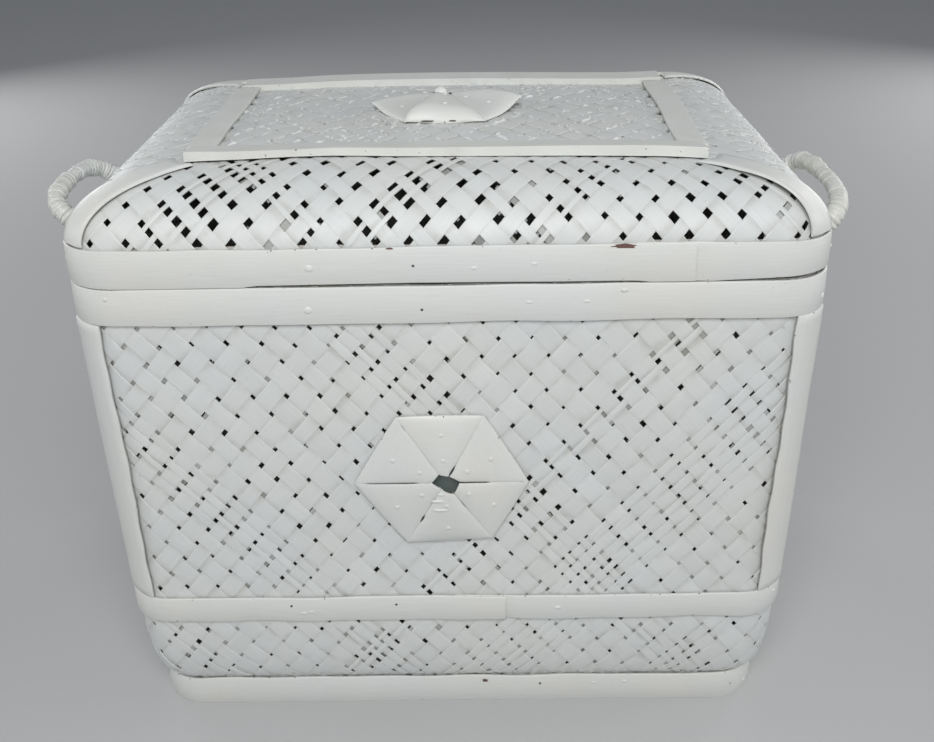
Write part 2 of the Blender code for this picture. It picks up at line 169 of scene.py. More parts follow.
class Nodes:
    """A short way to write a node tree."""

    def __init__(self, material):
        self.tree = material.node_tree
        self.shader = self.tree.nodes["Principled BSDF"]

    def link(self, socket, value):
        if isinstance(value, bpy.types.NodeSocket):
            self.tree.links.new(value, socket)
        else:
            socket.default_value = value

    def make(self, kind, inputs=(), **settings):
        node = self.tree.nodes.new(kind)
        for key, value in settings.items():
            setattr(node, key, value)
        for key, value in dict(inputs).items():
            self.link(node.inputs[key], value)
        return node

    def mark(self, name, vector=False):
        node = self.make("ShaderNodeAttribute", attribute_name=name)
        return node.outputs["Vector" if vector else "Fac"]

    def math(self, operation, a, b):
        return self.make("ShaderNodeMath", {0: a, 1: b}, operation=operation).outputs[0]

    def ramp(self, value, low, high, to_low=0.0, to_high=1.0):
        inputs = {"Value": value, "From Min": low, "From Max": high}
        inputs.update({"To Min": to_low, "To Max": to_high})
        return self.make("ShaderNodeMapRange", inputs).outputs["Result"]

    def noise(self, vector, scale, detail=3.0, rough=0.55):
        inputs = {"Vector": vector, "Scale": scale, "Detail": detail, "Roughness": rough}
        return self.make("ShaderNodeTexNoise", inputs).outputs["Fac"]

    def stretch(self, vector, scale):
        node = self.make("ShaderNodeVectorMath", {0: vector, 1: scale}, operation="MULTIPLY")
        return node.outputs["Vector"]

    def mix(self, share, a, b, **settings):
        node = self.make("ShaderNodeMix", data_type="RGBA", **settings)
        self.link(node.inputs["Factor"], share)
        for socket, value in zip((node.inputs["A"], node.inputs["B"]), (a, b)):
            colours = [s for s in node.inputs if s.name == socket.name and s.type == "RGBA"]
            self.link(colours[0], (*value, 1.0) if isinstance(value, tuple) else value)
        return [s for s in node.outputs if s.type == "RGBA"][0]


def paint(name, colour, warm, grime_and_shade, brush=1.0, chips=0.5, rough=0.4):
    """Thick brushed paint: streaks along the grain, grime and painted shade where a splint dips, chips at
    edges.
    """
    material = bpy.data.materials.new(name)
    material.use_nodes = True
    n = Nodes(material)
    place = n.make("ShaderNodeTexCoord").outputs["Object"]
    grain = n.mark("grain", vector=True)
    worn, sunk, tone, inside = (n.mark(m) for m in ("worn", "sunk", "tone", "inner"))
    patches = n.noise(place, 14.0, 3.0)
    streaks = n.noise(n.stretch(grain, (35.0, 900.0, 1.0)), 1.0, 4.0, 0.6)
    lumps = n.noise(place, 210.0, 2.0)
    shade = n.ramp(streaks, 0.3, 0.7, 0.965, 1.025)
    shade = n.math("MULTIPLY", shade, n.math("ADD", 1.0, tone))
    painted = n.mix(n.ramp(patches, 0.35, 0.68), colour, warm)
    grey = n.make("ShaderNodeCombineColor", {0: shade, 1: shade, 2: shade}).outputs[0]
    painted = n.mix(1.0, painted, grey, blend_type="MULTIPLY")
    # Grime and painted shade: the sunk mark darkens dips under crossings, grooves between cane turns and
    # paint films in holes.
    dirt_and_shade_noise = n.ramp(n.noise(place, 60.0, 4.0), 0.35, 0.7)
    dirt_and_shade = n.math("MULTIPLY", n.math("MULTIPLY", sunk, dirt_and_shade_noise), 0.55)
    painted = n.mix(dirt_and_shade, painted, grime_and_shade)
    chip_noise = n.noise(place, 330.0, 3.0, 0.6)
    chip_edge = n.ramp(worn, 0.55, 1.0, 0.0, 0.11 * chips)
    chip = n.ramp(n.math("ADD", chip_noise, chip_edge), 0.765, 0.78)
    painted = n.mix(chip, painted, CHIPPED)
    # Thin paint on undersides, which is also painted shade at the foot of some slabs' sides.
    painted = n.mix(inside, painted, THIN_PAINT_AND_FOOT_SHADE)
    n.link(n.shader.inputs["Base Color"], painted)
    rough_now = n.ramp(n.noise(place, 45.0, 3.0), 0.3, 0.75, rough - 0.08, rough + 0.14)
    n.link(n.shader.inputs["Roughness"], n.math("ADD", rough_now, n.math("MULTIPLY", inside, 0.3)))
    height = n.math("ADD", n.math("MULTIPLY", streaks, 0.45 * brush), n.math("MULTIPLY", lumps, 0.5))
    height = n.math("SUBTRACT", height, n.math("MULTIPLY", chip, 0.5))
    bump = n.make("ShaderNodeBump", {"Height": height, "Strength": 0.35, "Distance": 0.0006})
    n.link(n.shader.inputs["Normal"], bump.outputs["Normal"])
    return material


# Wood where the paint is chipped off, thin paint on the undersides of splints that also paints shade at
# the foot of some slabs' sides, grime with painted shade for dips, and the paints.
CHIPPED = (0.10, 0.075, 0.055)
THIN_PAINT_AND_FOOT_SHADE = (0.30, 0.30, 0.27)
GRIME_AND_SHADE = (0.34, 0.33, 0.28)
WARM_WHITE = (0.668, 0.668, 0.628)
WEAVE_PAINT = paint(
    "weave_paint", (0.636, 0.658, 0.650), (0.648, 0.658, 0.632), GRIME_AND_SHADE, chips=0.4, rough=0.48
)
BAND_PAINT = paint("band_paint", (0.655, 0.668, 0.648), WARM_WHITE, GRIME_AND_SHADE, brush=1.2, chips=0.8)
LATH_PAINT = paint("lath_paint", (0.69, 0.70, 0.665), WARM_WHITE, GRIME_AND_SHADE, chips=0.6)
# The cane's dark grime colour is also painted shade in the grooves between its turns.
CANE_PAINT = paint("cane_paint", (0.63, 0.645, 0.62), (0.63, 0.63, 0.58), (0.20, 0.18, 0.15))
# Bare wood, rusty nails, and the dark grey seen through the front rosette's hole: its old grey paint with
# painted shade.
BARE, RUST, BACKING = (
    paint(name, *colours, chips=0.0, rough=rough)
    for name, rough, *colours in (
        ("bare_wood", 0.6, (0.17, 0.075, 0.065), (0.11, 0.07, 0.055), (0.05, 0.04, 0.03)),
        ("rusty_nail", 0.6, (0.07, 0.062, 0.055), (0.05, 0.045, 0.04), (0.04, 0.03, 0.03)),
        ("grey_paint_and_hole_shade", 0.5, (0.115, 0.15, 0.145), (0.13, 0.155, 0.145), (0.06, 0.07, 0.06)),
    )
)
INSIDE_PAINT = paint("inside_paint", (0.42, 0.42, 0.39), (0.44, 0.41, 0.35), GRIME_AND_SHADE, rough=0.6)


# Outlines and surfaces -----------------------------------------------------------------

FRONT_HALF = REF_X - REF_R
ARC = math.pi / 2 * REF_R
STRAIGHTS = (2 * (REF_X - REF_R), 2 * (REF_Y - REF_R)) * 2
ROUND = sum(STRAIGHTS) + 4 * ARC


def ring_points(s, half_x, half_y, radius):
    """Points round a rounded rectangle, from the middle of the front towards the right."""
    s = np.mod(np.asarray(s, float) + FRONT_HALF, ROUND)
    x, y = np.zeros(s.shape), np.zeros(s.shape)
    start = 0.0
    for quarter in range(4):
        straight = STRAIGHTS[quarter]
        along, out = (half_x, half_y) if quarter % 2 == 0 else (half_y, half_x)
        share = (s - start) / straight
        turn = np.clip((s - start - straight) / ARC, 0, 1) * math.pi / 2
        lateral = np.where(
            share < 1, (2 * share - 1) * (along - radius), along - radius + radius * np.sin(turn)
        )
        outer = out - radius + radius * np.cos(turn)
        here = (s >= start) & (s < start + straight + ARC)
        points = ((lateral, -outer), (outer, lateral), (-lateral, outer), (-outer, -lateral))
        x = np.where(here, points[quarter][0], x)
        y = np.where(here, points[quarter][1], y)
        start += straight + ARC
    return x, y


def wall_inset(z):
    """How far the wall lies inside its line at the rim, at each height."""
    down = np.clip((WAIST_BOTTOM - z) / (WAIST_BOTTOM - BOWL_END), 0, 1)
    bowl = WAIST_INSET + (BOWL_INSET - WAIST_INSET) * (1 - np.sqrt(1 - down * down))
    tuck = np.clip((BOWL_END - z) / (BOWL_END - TUCK_END), 0, 1)
    low = np.where(z >= BOWL_END, bowl, BOWL_INSET + (FOOT_INSET - BOWL_INSET) * tuck)
    taper = WAIST_INSET * np.clip((RIM_BOTTOM - z) / (RIM_BOTTOM - WAIST_TOP), 0, 1)
    return np.where(z >= WAIST_BOTTOM, taper, low)


def lengths(outs, ups):
    """Lengths along a profile."""
    return np.concatenate([[0.0], np.cumsum(np.hypot(np.diff(outs), np.diff(ups)))])


WALL_Z = np.linspace(WALL_TOP, WALL_BOTTOM, 700)
WALL_IN = wall_inset(WALL_Z)
WALL_T = lengths(-WALL_IN, WALL_Z)
WALL_LENGTH = WALL_T[-1]


def ripple(seed, s, t, size):
    """A gentle unevenness of a woven panel, between 0 and size."""
    rng = randoms(seed)
    total, waves = np.zeros(np.shape(s)), 5
    for _ in range(waves):
        around, down = rng.integers(2, 12), rng.uniform(6, 26)
        phase = rng.uniform(0, 2 * math.pi, 2)
        wave = np.sin(2 * math.pi * around * s / ROUND + phase[0]) * np.sin(down * t + phase[1])
        total = total + wave / waves
    return size * (0.5 + total)


def wall_surface(s, t):
    """The middle of the woven wall: s runs round it and t down it."""
    z = np.interp(t, WALL_T, WALL_Z)
    inset = np.interp(t, WALL_T, WALL_IN)
    free = np.clip((RIM_BOTTOM - z) / 0.04, 0, 1) * np.clip((z - WAIST_TOP) / 0.04, 0, 1)
    inset = inset + free * ripple("wall", s, t, 0.0022)
    x, y = ring_points(s, REF_X - inset, REF_Y - inset, REF_R)
    return np.stack([x, y + MID_Y, z], -1)


def dome_layer(angle):
    """Half width, half depth, corner radius and height of the lid's dome: 0 at the band, pi / 2 on top."""
    share, rise = 1 - np.cos(angle), np.sin(angle)
    return (
        REF_X - (REF_X - FLAT_X) * share,
        REF_Y - (REF_Y - FLAT_Y) * share,
        REF_R + (FLAT_RADIUS - REF_R) * rise**2,
        LID_BAND_TOP + (LID_TOP - WEAVE / 2 - LID_BAND_TOP) * rise,
    )


# How far the weave has warped up or down along the front and back laths, from left to right.
FRONT_WARP = (
    (0.00, 0.0008), (0.07, 0.0019), (0.15, 0.0036), (0.22, 0.0050), (0.29, 0.0056), (0.35, 0.0043),
    (0.41, 0.0028), (0.60, 0.0007), (0.75, -0.0009), (0.87, -0.0024), (1.00, -0.0029),
)
BACK_WARP = ((0.00, 0.0010), (0.20, 0.0044), (0.40, 0.0032), (1.00, 0.0027))


def warp(x, y):
    """How far the top of the lid has warped up at the frame."""
    share = (x / FRAME_X + 1) / 2
    back = np.clip(y / FRAME_Y / 2 + 0.5, 0, 1)
    front_part = np.interp(share, *np.array(FRONT_WARP).T)
    return front_part * (1 - back) + np.interp(share, *np.array(BACK_WARP).T) * back


def crown(x, y):
    """Height of the middle of the woven top of the lid, y from the middle of the hamper."""
    rise = np.cos(math.pi / 2 * x / FLAT_X) * np.cos(math.pi / 2 * y / FLAT_Y)
    near = np.clip(np.maximum(np.abs(x) / FRAME_X, np.abs(y) / FRAME_Y), 0, 1) ** 4
    return LID_TOP - WEAVE / 2 + LID_CROWN * np.clip(rise, 0, None) + near * warp(x, y)


UNDER_LATH = 0.006


def lid_slope(side):
    """One shoulder of the lid: its surface, its border, its half width and its length.

    t runs down from under the lath.
    """
    half_x, half_y, radius, z = dome_layer(np.linspace(math.pi / 2, 0, 160))
    out, lateral = (half_y, half_x) if side in ("front", "back") else (half_x, half_y)
    out, lateral, radius, z = (np.pad(values, 1, mode="edge") for values in (out, lateral, radius, z))
    out[0] -= UNDER_LATH
    z[-1] = LID_BOTTOM + 0.002
    length = lengths(out, z)

    def surface(s, t):
        o, w = np.interp(t, length, out), np.interp(t, length, lateral)
        r, height = np.interp(t, length, radius), np.interp(t, length, z)
        turn = np.clip((np.abs(s) - (w - r)) / r, 0, 1.2)
        across = np.where(turn > 0, w - r + r * np.sin(turn), np.abs(s)) * np.sign(s)
        o = o - r + r * np.cos(turn)
        o = o - ripple("lid_" + side, s, t, 0.0012) * np.clip((height - LID_BAND_TOP) / 0.01, 0, 1)
        ways = {"front": (across, -o), "right": (o, across), "back": (-across, o), "left": (-o, -across)}
        x, y = ways[side]
        fade = np.clip((0.060 - t) / 0.050, 0, 1) ** 1.5
        if side in ("front", "back"):
            lath = crown(np.clip(x, -FRAME_X, FRAME_X), INNER_Y if side == "back" else -INNER_Y)
        else:
            lath = crown(SIDE_INNER if side == "right" else -SIDE_INNER, np.clip(y, -FRAME_Y, FRAME_Y))
        return np.stack([x, y + MID_Y, height + fade * (lath - LID_TOP + WEAVE / 2)], -1)

    def inside(s, t):
        w, r = np.interp(t, length, lateral), np.interp(t, length, radius)
        return (np.abs(s) < w - r + r * math.pi / 4 - CLEAR) & (t > 0) & (t < length[-1])

    return surface, inside, lateral.max(), length[-1]


def on_surface(surface, s, t):
    """Points and outward normals of a surface."""
    step = 0.0008
    across = surface(s + step, t) - surface(s - step, t)
    down = surface(s, t + step) - surface(s, t - step)
    return surface(s, t), unit(np.cross(down, across))


# The weave -----------------------------------------------------------------------------


SPLIT_CELLS = 0.2  # the share of places where two narrow splints lie in place of one


def lattice(rng, low, high, period=None):
    """Middles and sizes of the cells of one direction of splints. Some cells are split in two."""
    sizes = []
    count = 2 * round(period / CELL / 2) if period else int((high - low) / CELL) + 3
    pairs = set(rng.choice(count, 2 * round(count * SPLIT_CELLS / 2), replace=False).tolist())
    for cell in range(count):
        size = CELL * (1 + np.clip(rng.normal(0, 0.055), -0.12, 0.12))
        share = rng.uniform(0.46, 0.54)
        sizes += [size * share, size * (1 - share)] if cell in pairs else [size]
    sizes = np.array(sizes)
    if period is None:
        edges = low - CELL + np.concatenate([[0], np.cumsum(sizes)])
        return (edges[1:] + edges[:-1]) / 2, sizes, len(sizes)
    sizes *= period / sizes.sum()
    edges = np.concatenate([[0], np.cumsum(sizes)])
    middles = (edges[1:] + edges[:-1]) / 2
    turns = range(math.floor(low / period), math.ceil(high / period) + 1)
    tiled = np.concatenate([middles + period * turn for turn in turns])
    return tiled, np.tile(sizes, len(turns)), len(sizes)


# A splint's section from edge to edge: places across it, their heights, wear and thin paint.
ACROSS = np.array([-1, -1, -0.9, 0, 0.9, 1, 1])
TOP = SPLINT / 2
SECTION = np.array([-TOP, TOP - 0.0004, TOP - 0.00008, TOP, TOP - 0.00008, TOP - 0.0004, -TOP])
WORN = np.array([0.6, 1, 0.45, 0, 0.45, 1, 0.6])
INNER = np.array([0.5, 0, 0, 0, 0, 0, 0.5])
# Where a splint has points on its way from one crossing to the next.
PHASES = np.array([0, 0.27, 0.41, 0.59, 0.73])
FLATNESS = 2.6
LEAST_WIDTH = 0.42


def runs(good, owner):
    """First and last stations of the stretches that lie inside, cut where the owner changes."""
    changes = np.flatnonzero(np.diff(good.astype(int)))
    starts = [0] * int(good[0]) + [k + 1 for k in changes if not good[k]]
    ends = [k for k in changes if good[k]] + [len(good) - 1] * int(good[-1])
    for start, end in zip(starts, ends):
        cuts = [k for k in range(start + 1, end) if owner[k] != owner[k - 1]]
        yield from ((a, b) for a, b in zip([start, *cuts], [*cuts, end]) if b > a)


def splints(
    seed, surface, inside, span, depth, gaps, lift, period=None, part_of=None, count=1, clog=None,
    curl=0.0,
):
    """One Form for each part of a woven panel.

    span and depth are its extents along s and t, gaps the least and most between splints, lift how
    far a splint swings out over another, clog the chance of dried paint in a hole, and curl how far
    its edges may turn up.
    """
    rng = randoms(seed)
    tall = depth / STEEP
    low, high = (-2 * tall, period + 2 * tall) if period else (span[0] - tall, span[1] + tall)
    lines = [lattice(rng, low, high, period) for _ in range(2)]
    slant = STEEP / math.hypot(1, STEEP)
    relief = min(1.0, lift / 0.0003)
    forms = [Form() for _ in range(count)]
    for family in (0, 1):
        own, other = lines[family], lines[1 - family]
        numbers = np.arange(len(other[0]))
        phase = (numbers[:, None] + PHASES[None, :]).ravel()[: -len(PHASES) + 1]
        stations = np.interp(phase, numbers, other[0])
        first = int(np.searchsorted(own[0], 0.0)) if period else 0
        last = first + own[2] if period else len(own[0])
        for index in range(first, last):
            middle, cell = own[0][index], own[1][index]
            width = cell * slant - (gaps[0] + (gaps[1] - gaps[0]) * rng.beta(0.8, 1.25))
            width = max(width, LEAST_WIDTH * cell * slant)
            wander = rng.uniform(0.0001, 0.0005)
            waves, shifts = rng.uniform(25, 60, 2), rng.uniform(0, 6, 2)
            tone = rng.normal(0, 0.014)
            roll, roll_wave = relief * rng.uniform(-0.00022, 0.00022), rng.uniform(8, 22)
            crowned = relief * (0.00012 + rng.uniform(-0.00022, 0.00016))
            section = SECTION + crowned * (np.abs(ACROSS) < 0.5)
            curls = curl * np.clip(rng.normal(0.1, 0.6, (len(stations), 2)), 0, 1) ** 1.5
            fixed = middle + wander * np.sin(waves[0] * stations + shifts[0])
            way = 1 - 2 * family
            s, t = (fixed + stations) / 2, way * (fixed - stations) / 2 * STEEP
            side = np.array([STEEP, way]) / math.hypot(1, STEEP)
            good = inside(s, t)
            if good.sum() < 2:
                continue
            turn = np.cos(math.pi * (phase + index + family))
            rise = lift * np.tanh(FLATNESS * turn) / math.tanh(FLATNESS)
            half = width / 2 * (1 + 0.025 * np.sin(waves[1] * stations + shifts[1]))
            owner = part_of(s) if part_of else np.zeros(len(s), int)
            for a, b in runs(good, owner):
                run = slice(a, b + 1)
                rings, sides = b - a + 1, len(ACROSS)
                lateral = half[run, None] * ACROSS
                point, normal = on_surface(
                    surface, s[run, None] + lateral * side[0], t[run, None] + lateral * side[1]
                )
                lean = roll * np.sin(roll_wave * stations[run, None] + shifts[0]) * ACROSS
                height = rise[run, None] + section + lean
                height[:, 1] += curls[run, 0]
                height[:, 5] += curls[run, 1]
                points = point + normal * height[..., None]
                faces = tube_faces(rings, sides)
                if outward(points[:2], tube_faces(2, sides))[0] != faces[0]:
                    faces = [face[::-1] for face in faces]
                length = np.broadcast_to(stations[run, None] / 1.4, lateral.shape)
                own_place = np.full(lateral.shape, index + 100.0 * family)
                # sunk: how far the splint dips under another; the paint puts grime and painted shade
                # there.
                sunk = np.broadcast_to(0.5 - 0.5 * rise[run, None] / lift, lateral.shape)
                forms[owner[a]].add(
                    points,
                    faces,
                    grain=np.stack([length, lateral, own_place], -1).reshape(-1, 3),
                    worn=np.tile(WORN, rings),
                    inner=np.tile(INNER, rings),
                    tone=tone,
                    sunk=sunk.ravel(),
                )
    if clog:
        clogs(rng, forms, surface, inside, lines, part_of, clog)
    return forms


def clogs(rng, forms, surface, inside, lines, part_of, chance):
    """Films of dried paint, set back in some of the holes and covering part of each. Their dark tone is
    partly painted shade in the hole.
    """
    ways = np.array([[1, -STEEP], [1, STEEP]]) / math.hypot(1, STEEP)
    borders = [middles + sizes / 2 for middles, sizes, _ in lines]
    first = int(np.searchsorted(lines[0][0], 0.0)) if part_of else 0
    for a in borders[0][first : first + lines[0][2]]:
        for b in borders[1]:
            s, t = (a + b) / 2, (a - b) / 2 * STEEP
            if not inside(s, t) or rng.random() > chance(s, t):
                continue
            way = rng.integers(2)
            slide = rng.uniform(-0.0042, 0.0042) if rng.random() < 0.8 else 0.0
            middle = np.array([s, t]) + ways[way] * slide
            reach = rng.uniform(0.0027, 0.0036)
            square = ((-1, -1), (1, -1), (1, 1), (-1, 1))
            corners = [middle + reach * (p * ways[0] + q * ways[1]) for p, q in square]
            point, normal = on_surface(surface, *np.array(corners).T)
            sink = rng.uniform(-0.0014, -0.0006)
            points = np.concatenate([point + normal * sink, point + normal * (sink - 0.0003)])
            faces = outward(points, tube_faces(2, 4))
            owner = int(part_of(np.array(s))) if part_of else 0
            # Dark tone and full sunk mark: the film's paint, darkened with painted shade.
            forms[owner].add(points, faces, sunk=1.0, tone=rng.uniform(-0.62, -0.22))


def wall_part(s):
    """0 front, 1 right, 2 back, 3 left."""
    quarter = np.mod(np.asarray(s) + FRONT_HALF + ARC / 2, ROUND)
    ends = np.cumsum([STRAIGHTS[0] + ARC, STRAIGHTS[1] + ARC, STRAIGHTS[2] + ARC])
    return np.searchsorted(ends, quarter, side="right")


SIDES = ("front", "right", "back", "left")
CLEAR = 0.001


def panel(form, name, body, node):
    """The splints of one woven panel. Their faces meet at shallow angles and still look flat."""
    form.piece(name, WEAVE_PAINT, body, "painted_weave", node, sharp=13)


def woven_walls():
    def inside(s, t):
        return (t > CLEAR) & (t < WALL_LENGTH - CLEAR)

    def clog(s, t):
        """Most holes near the borders of a wall hold some paint."""
        around = np.mod(s + FRONT_HALF, STRAIGHTS[0] + STRAIGHTS[1] + 2 * ARC)
        half = STRAIGHTS[0] / 2 if around < STRAIGHTS[0] + ARC / 2 else STRAIGHTS[1] / 2
        across = abs(around - half) if half > 0.2 else abs(around - STRAIGHTS[0] - ARC - half)
        up = abs(2 * t / 0.25 - 1)
        return 0.18 + 0.60 * np.clip(max(across / half, up) - 0.35, 0, 0.65) / 0.65

    forms = splints(
        "walls", wall_surface, inside, None, WALL_LENGTH, (0.0014, 0.0056), 0.00020,
        period=ROUND, part_of=wall_part, count=4, clog=clog, curl=0.00035,
    )
    for form, side in zip(forms, SIDES):
        panel(form, side + "_wall_splints", "basket", side + "_wall_weave")


def woven_lid():
    for side in SIDES:
        surface, inside, half, length = lid_slope(side)
        gaps, lift, clogged, curl = (0.0008, 0.0046), 0.00026, 0.5, 0.0011
        if side == "front":
            gaps, lift, clogged, curl = (0.0030, 0.0092), 0.00016, 0.12, 0.0002
        (form,) = splints(
            "lid_" + side, surface, inside, (-half, half), length, gaps, lift,
            clog=lambda s, t: clogged, curl=curl,
        )
        panel(form, f"lid_{side}_splints", "lid", f"lid_{side}_weave")
    reach_x = FRAME_X - 0.013
    reach_y = INNER_Y + 0.012

    def surface(s, t):
        return np.stack([s, MID_Y - t + reach_y, crown(s, reach_y - t)], -1)

    def inside(s, t):
        return (np.abs(s) < reach_x) & (t > 0) & (t < 2 * reach_y)

    (form,) = splints(
        "lid_top", surface, inside, (-reach_x, reach_x), 2 * reach_y, (0.0004, 0.0036), 0.00024,
        clog=lambda s, t: 0.6, curl=0.0018,
    )
    panel(form, "lid_top_splints", "lid", "lid_top_weave")


def woven_floor():
    low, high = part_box("bottom_weave")
    middle_z = (low.z + high.z) / 2
    reach_x, reach_y = high.x - CLEAR, (high.y - low.y) / 2 - CLEAR
    radius = CORNER - FOOT_INSET / 2

    def surface(s, t):
        return np.stack([s, MID_Y + reach_y - t, np.full(np.shape(s), middle_z)], -1)

    def inside(s, t):
        x, y = np.abs(s), np.abs(reach_y - t)
        corner = np.hypot(np.clip(x - reach_x + radius, 0, None), np.clip(y - reach_y + radius, 0, None))
        return (x < reach_x) & (y < reach_y) & (corner < radius)

    (form,) = splints(
        "floor", surface, inside, (-reach_x, reach_x), 2 * reach_y, (0.0010, 0.0030), 0.00045
    )
    form.piece("bottom_splints", INSIDE_PAINT, "basket", "painted_weave", "bottom_weave")


# Bands ---------------------------------------------------------------------------------


def wavy(rng, s, size):
    """An uneven wave along a hoop, up to size to either side."""
    total = np.zeros(np.shape(s))
    for cycles in rng.integers(3, 30, 6):
        total = total + np.sin(2 * math.pi * cycles * s / ROUND + rng.uniform(0, 6.3)) / 6
    return size * total


def face_wave(name, s):
    """How far the outer face of a hoop stands out, along it."""
    return wavy(randoms(name), s, 0.0007)


def band(name, node, body, inset, inward, low, high, thick, lap_at, edge=None, step=0.0006):
    """A hoop of flat splint whose end laps over its start.

    inset is how far its line lies inside the rim's, and inward how far its outer face lies behind
    that line. An inward hoop has thin paint.
    """
    rng = randoms(name + "_edges")
    lap, ease = 0.038, 0.012
    s = np.arange(lap_at - lap, lap_at + ROUND, 0.005)
    s = np.append(s, lap_at + ROUND)
    along = s - s[0]
    under = 1 - np.clip((along - lap) / ease, 0, 1)
    over = np.clip((s - (lap_at + ROUND - lap - ease)) / ease, 0, 1)
    outer = face_wave(name, s) - 0.55 * thick * under + step * over
    inner = wavy(rng, s, 0.0003) - thick + 0.50 * thick * over
    bottom = low + wavy(rng, s, 0.0014)
    top = high + wavy(rng, s, 0.0012)
    if edge:
        bottom, top = edge(s, bottom, top)
    trim = 0.0007
    section = [
        (outer, bottom + trim), (outer + 0.0002, (bottom + top) / 2), (outer, top - trim),
        (outer - trim / 2, top), ((outer + inner) / 2, top + 0.0001), (inner + trim / 2, top),
        (inner, top - trim), (inner, bottom + trim), (inner + trim / 2, bottom),
        (outer - trim / 2, bottom),
    ]
    points = []
    radius = CORNER - inward
    for out, z in section:
        x, y = ring_points(s, HALF_X - inset - inward + out, HALF_Y - inset - inward + out, radius + out)
        points.append(np.stack([x, y + MID_Y, z], -1))
    points = np.stack(points, 1)
    sides = len(section)
    worn = np.tile([0.85, 0, 0.85, 1, 1, 1, 0.6, 0.6, 1, 1], len(s))
    inside = np.tile([0, 0, 0, 0, 0, 0.4, 1, 1, 0.4, 0], len(s)) * (inward == 0)
    around, height = np.broadcast_to(s[:, None], points.shape[:2]), points[..., 2]
    grain = np.stack([around, height, 0 * height], -1)
    form = Form()
    form.add(
        points,
        outward(points, tube_faces(len(s), sides)),
        grain=grain.reshape(-1, 3),
        worn=worn,
        inner=inside,
    )
    material, slot = (INSIDE_PAINT, "inside_splint") if inward else (BAND_PAINT, "painted_splint")
    form.piece(name, material, body, slot, node, sharp=60)


# The gap under the lid's band at places along the front, from its middle.
FRONT_JOINT = (
    (-0.260, 0.0006), (-0.215, 0.0001), (-0.131, 0.0001), (-0.122, 0.0014), (-0.020, 0.0020),
    (0.122, 0.0012), (0.131, 0.0001), (0.168, 0.0001), (0.178, 0.0008), (0.215, 0.0020),
    (0.237, 0.0027), (0.260, 0.0016),
)


def bands():
    behind = BAND + GAP + WEAVE + GAP

    def lid_edge(s, bottom, top):
        """The lid's band stands off the rim in some places, most at the right front corner."""
        around = np.mod(s + ROUND / 2, ROUND) - ROUND / 2
        elsewhere = 0.0001 + np.clip(0.0011 + 4.0 * wavy(randoms("joint"), s, 0.0009), 0, 0.0013)
        gap = np.interp(around, *np.array(FRONT_JOINT).T)
        return LID_BOTTOM + np.where(np.abs(around) < FRONT_JOINT[-1][0], gap, elsewhere), top

    def rim_edge(s, bottom, top):
        return bottom, np.minimum(top, RIM_TOP - 0.0002 + wavy(randoms("rim_top"), s, 0.0003))

    def foot_edge(s, bottom, top):
        return np.zeros(s.shape), top

    back, collar, foot = ROUND / 2, heights("lid_collar"), heights("foot_band_inner")
    waist, lid = (WAIST_BOTTOM, WAIST_TOP), (LID_BOTTOM, LID_BAND_TOP)
    rim, rim_inner = (RIM_BOTTOM, RIM_TOP + 0.001), (RIM_BOTTOM, WALL_TOP)
    lid_inner = LID_BOTTOM + 0.0005, LID_BAND_TOP
    for hoop in (
        ("rim_band", "rim_band_outer", "basket", 0, 0, *rim, BAND, back + 0.08, rim_edge),
        ("waist_hoop", "waist_band", "basket", WAIST_INSET, 0, *waist, BAND, 0.038),
        ("foot_hoop", "foot_band", "basket", FOOT_INSET, 0, 0, FOOT_TOP, BAND, back - 0.11, foot_edge),
        ("lid_hoop", "lid_band_outer", "lid", 0, 0, *lid, BAND, 0.158, lid_edge, 0.0002),
        ("rim_inner_hoop", "rim_band_inner", "basket", 0, behind, *rim_inner, 0.003, back),
        ("lid_collar_hoop", "lid_collar", "basket", 0, behind + 0.0033, *collar, 0.0022, back + 0.2),
        ("lid_inner_hoop", "lid_band_inner", "lid", 0, behind, *lid_inner, 0.0023, back),
        ("foot_inner_hoop", "foot_band_inner", "basket", FOOT_INSET, behind, *foot, BAND, back),
    ):
        band(*hoop)


# Splint slabs --------------------------------------------------------------------------


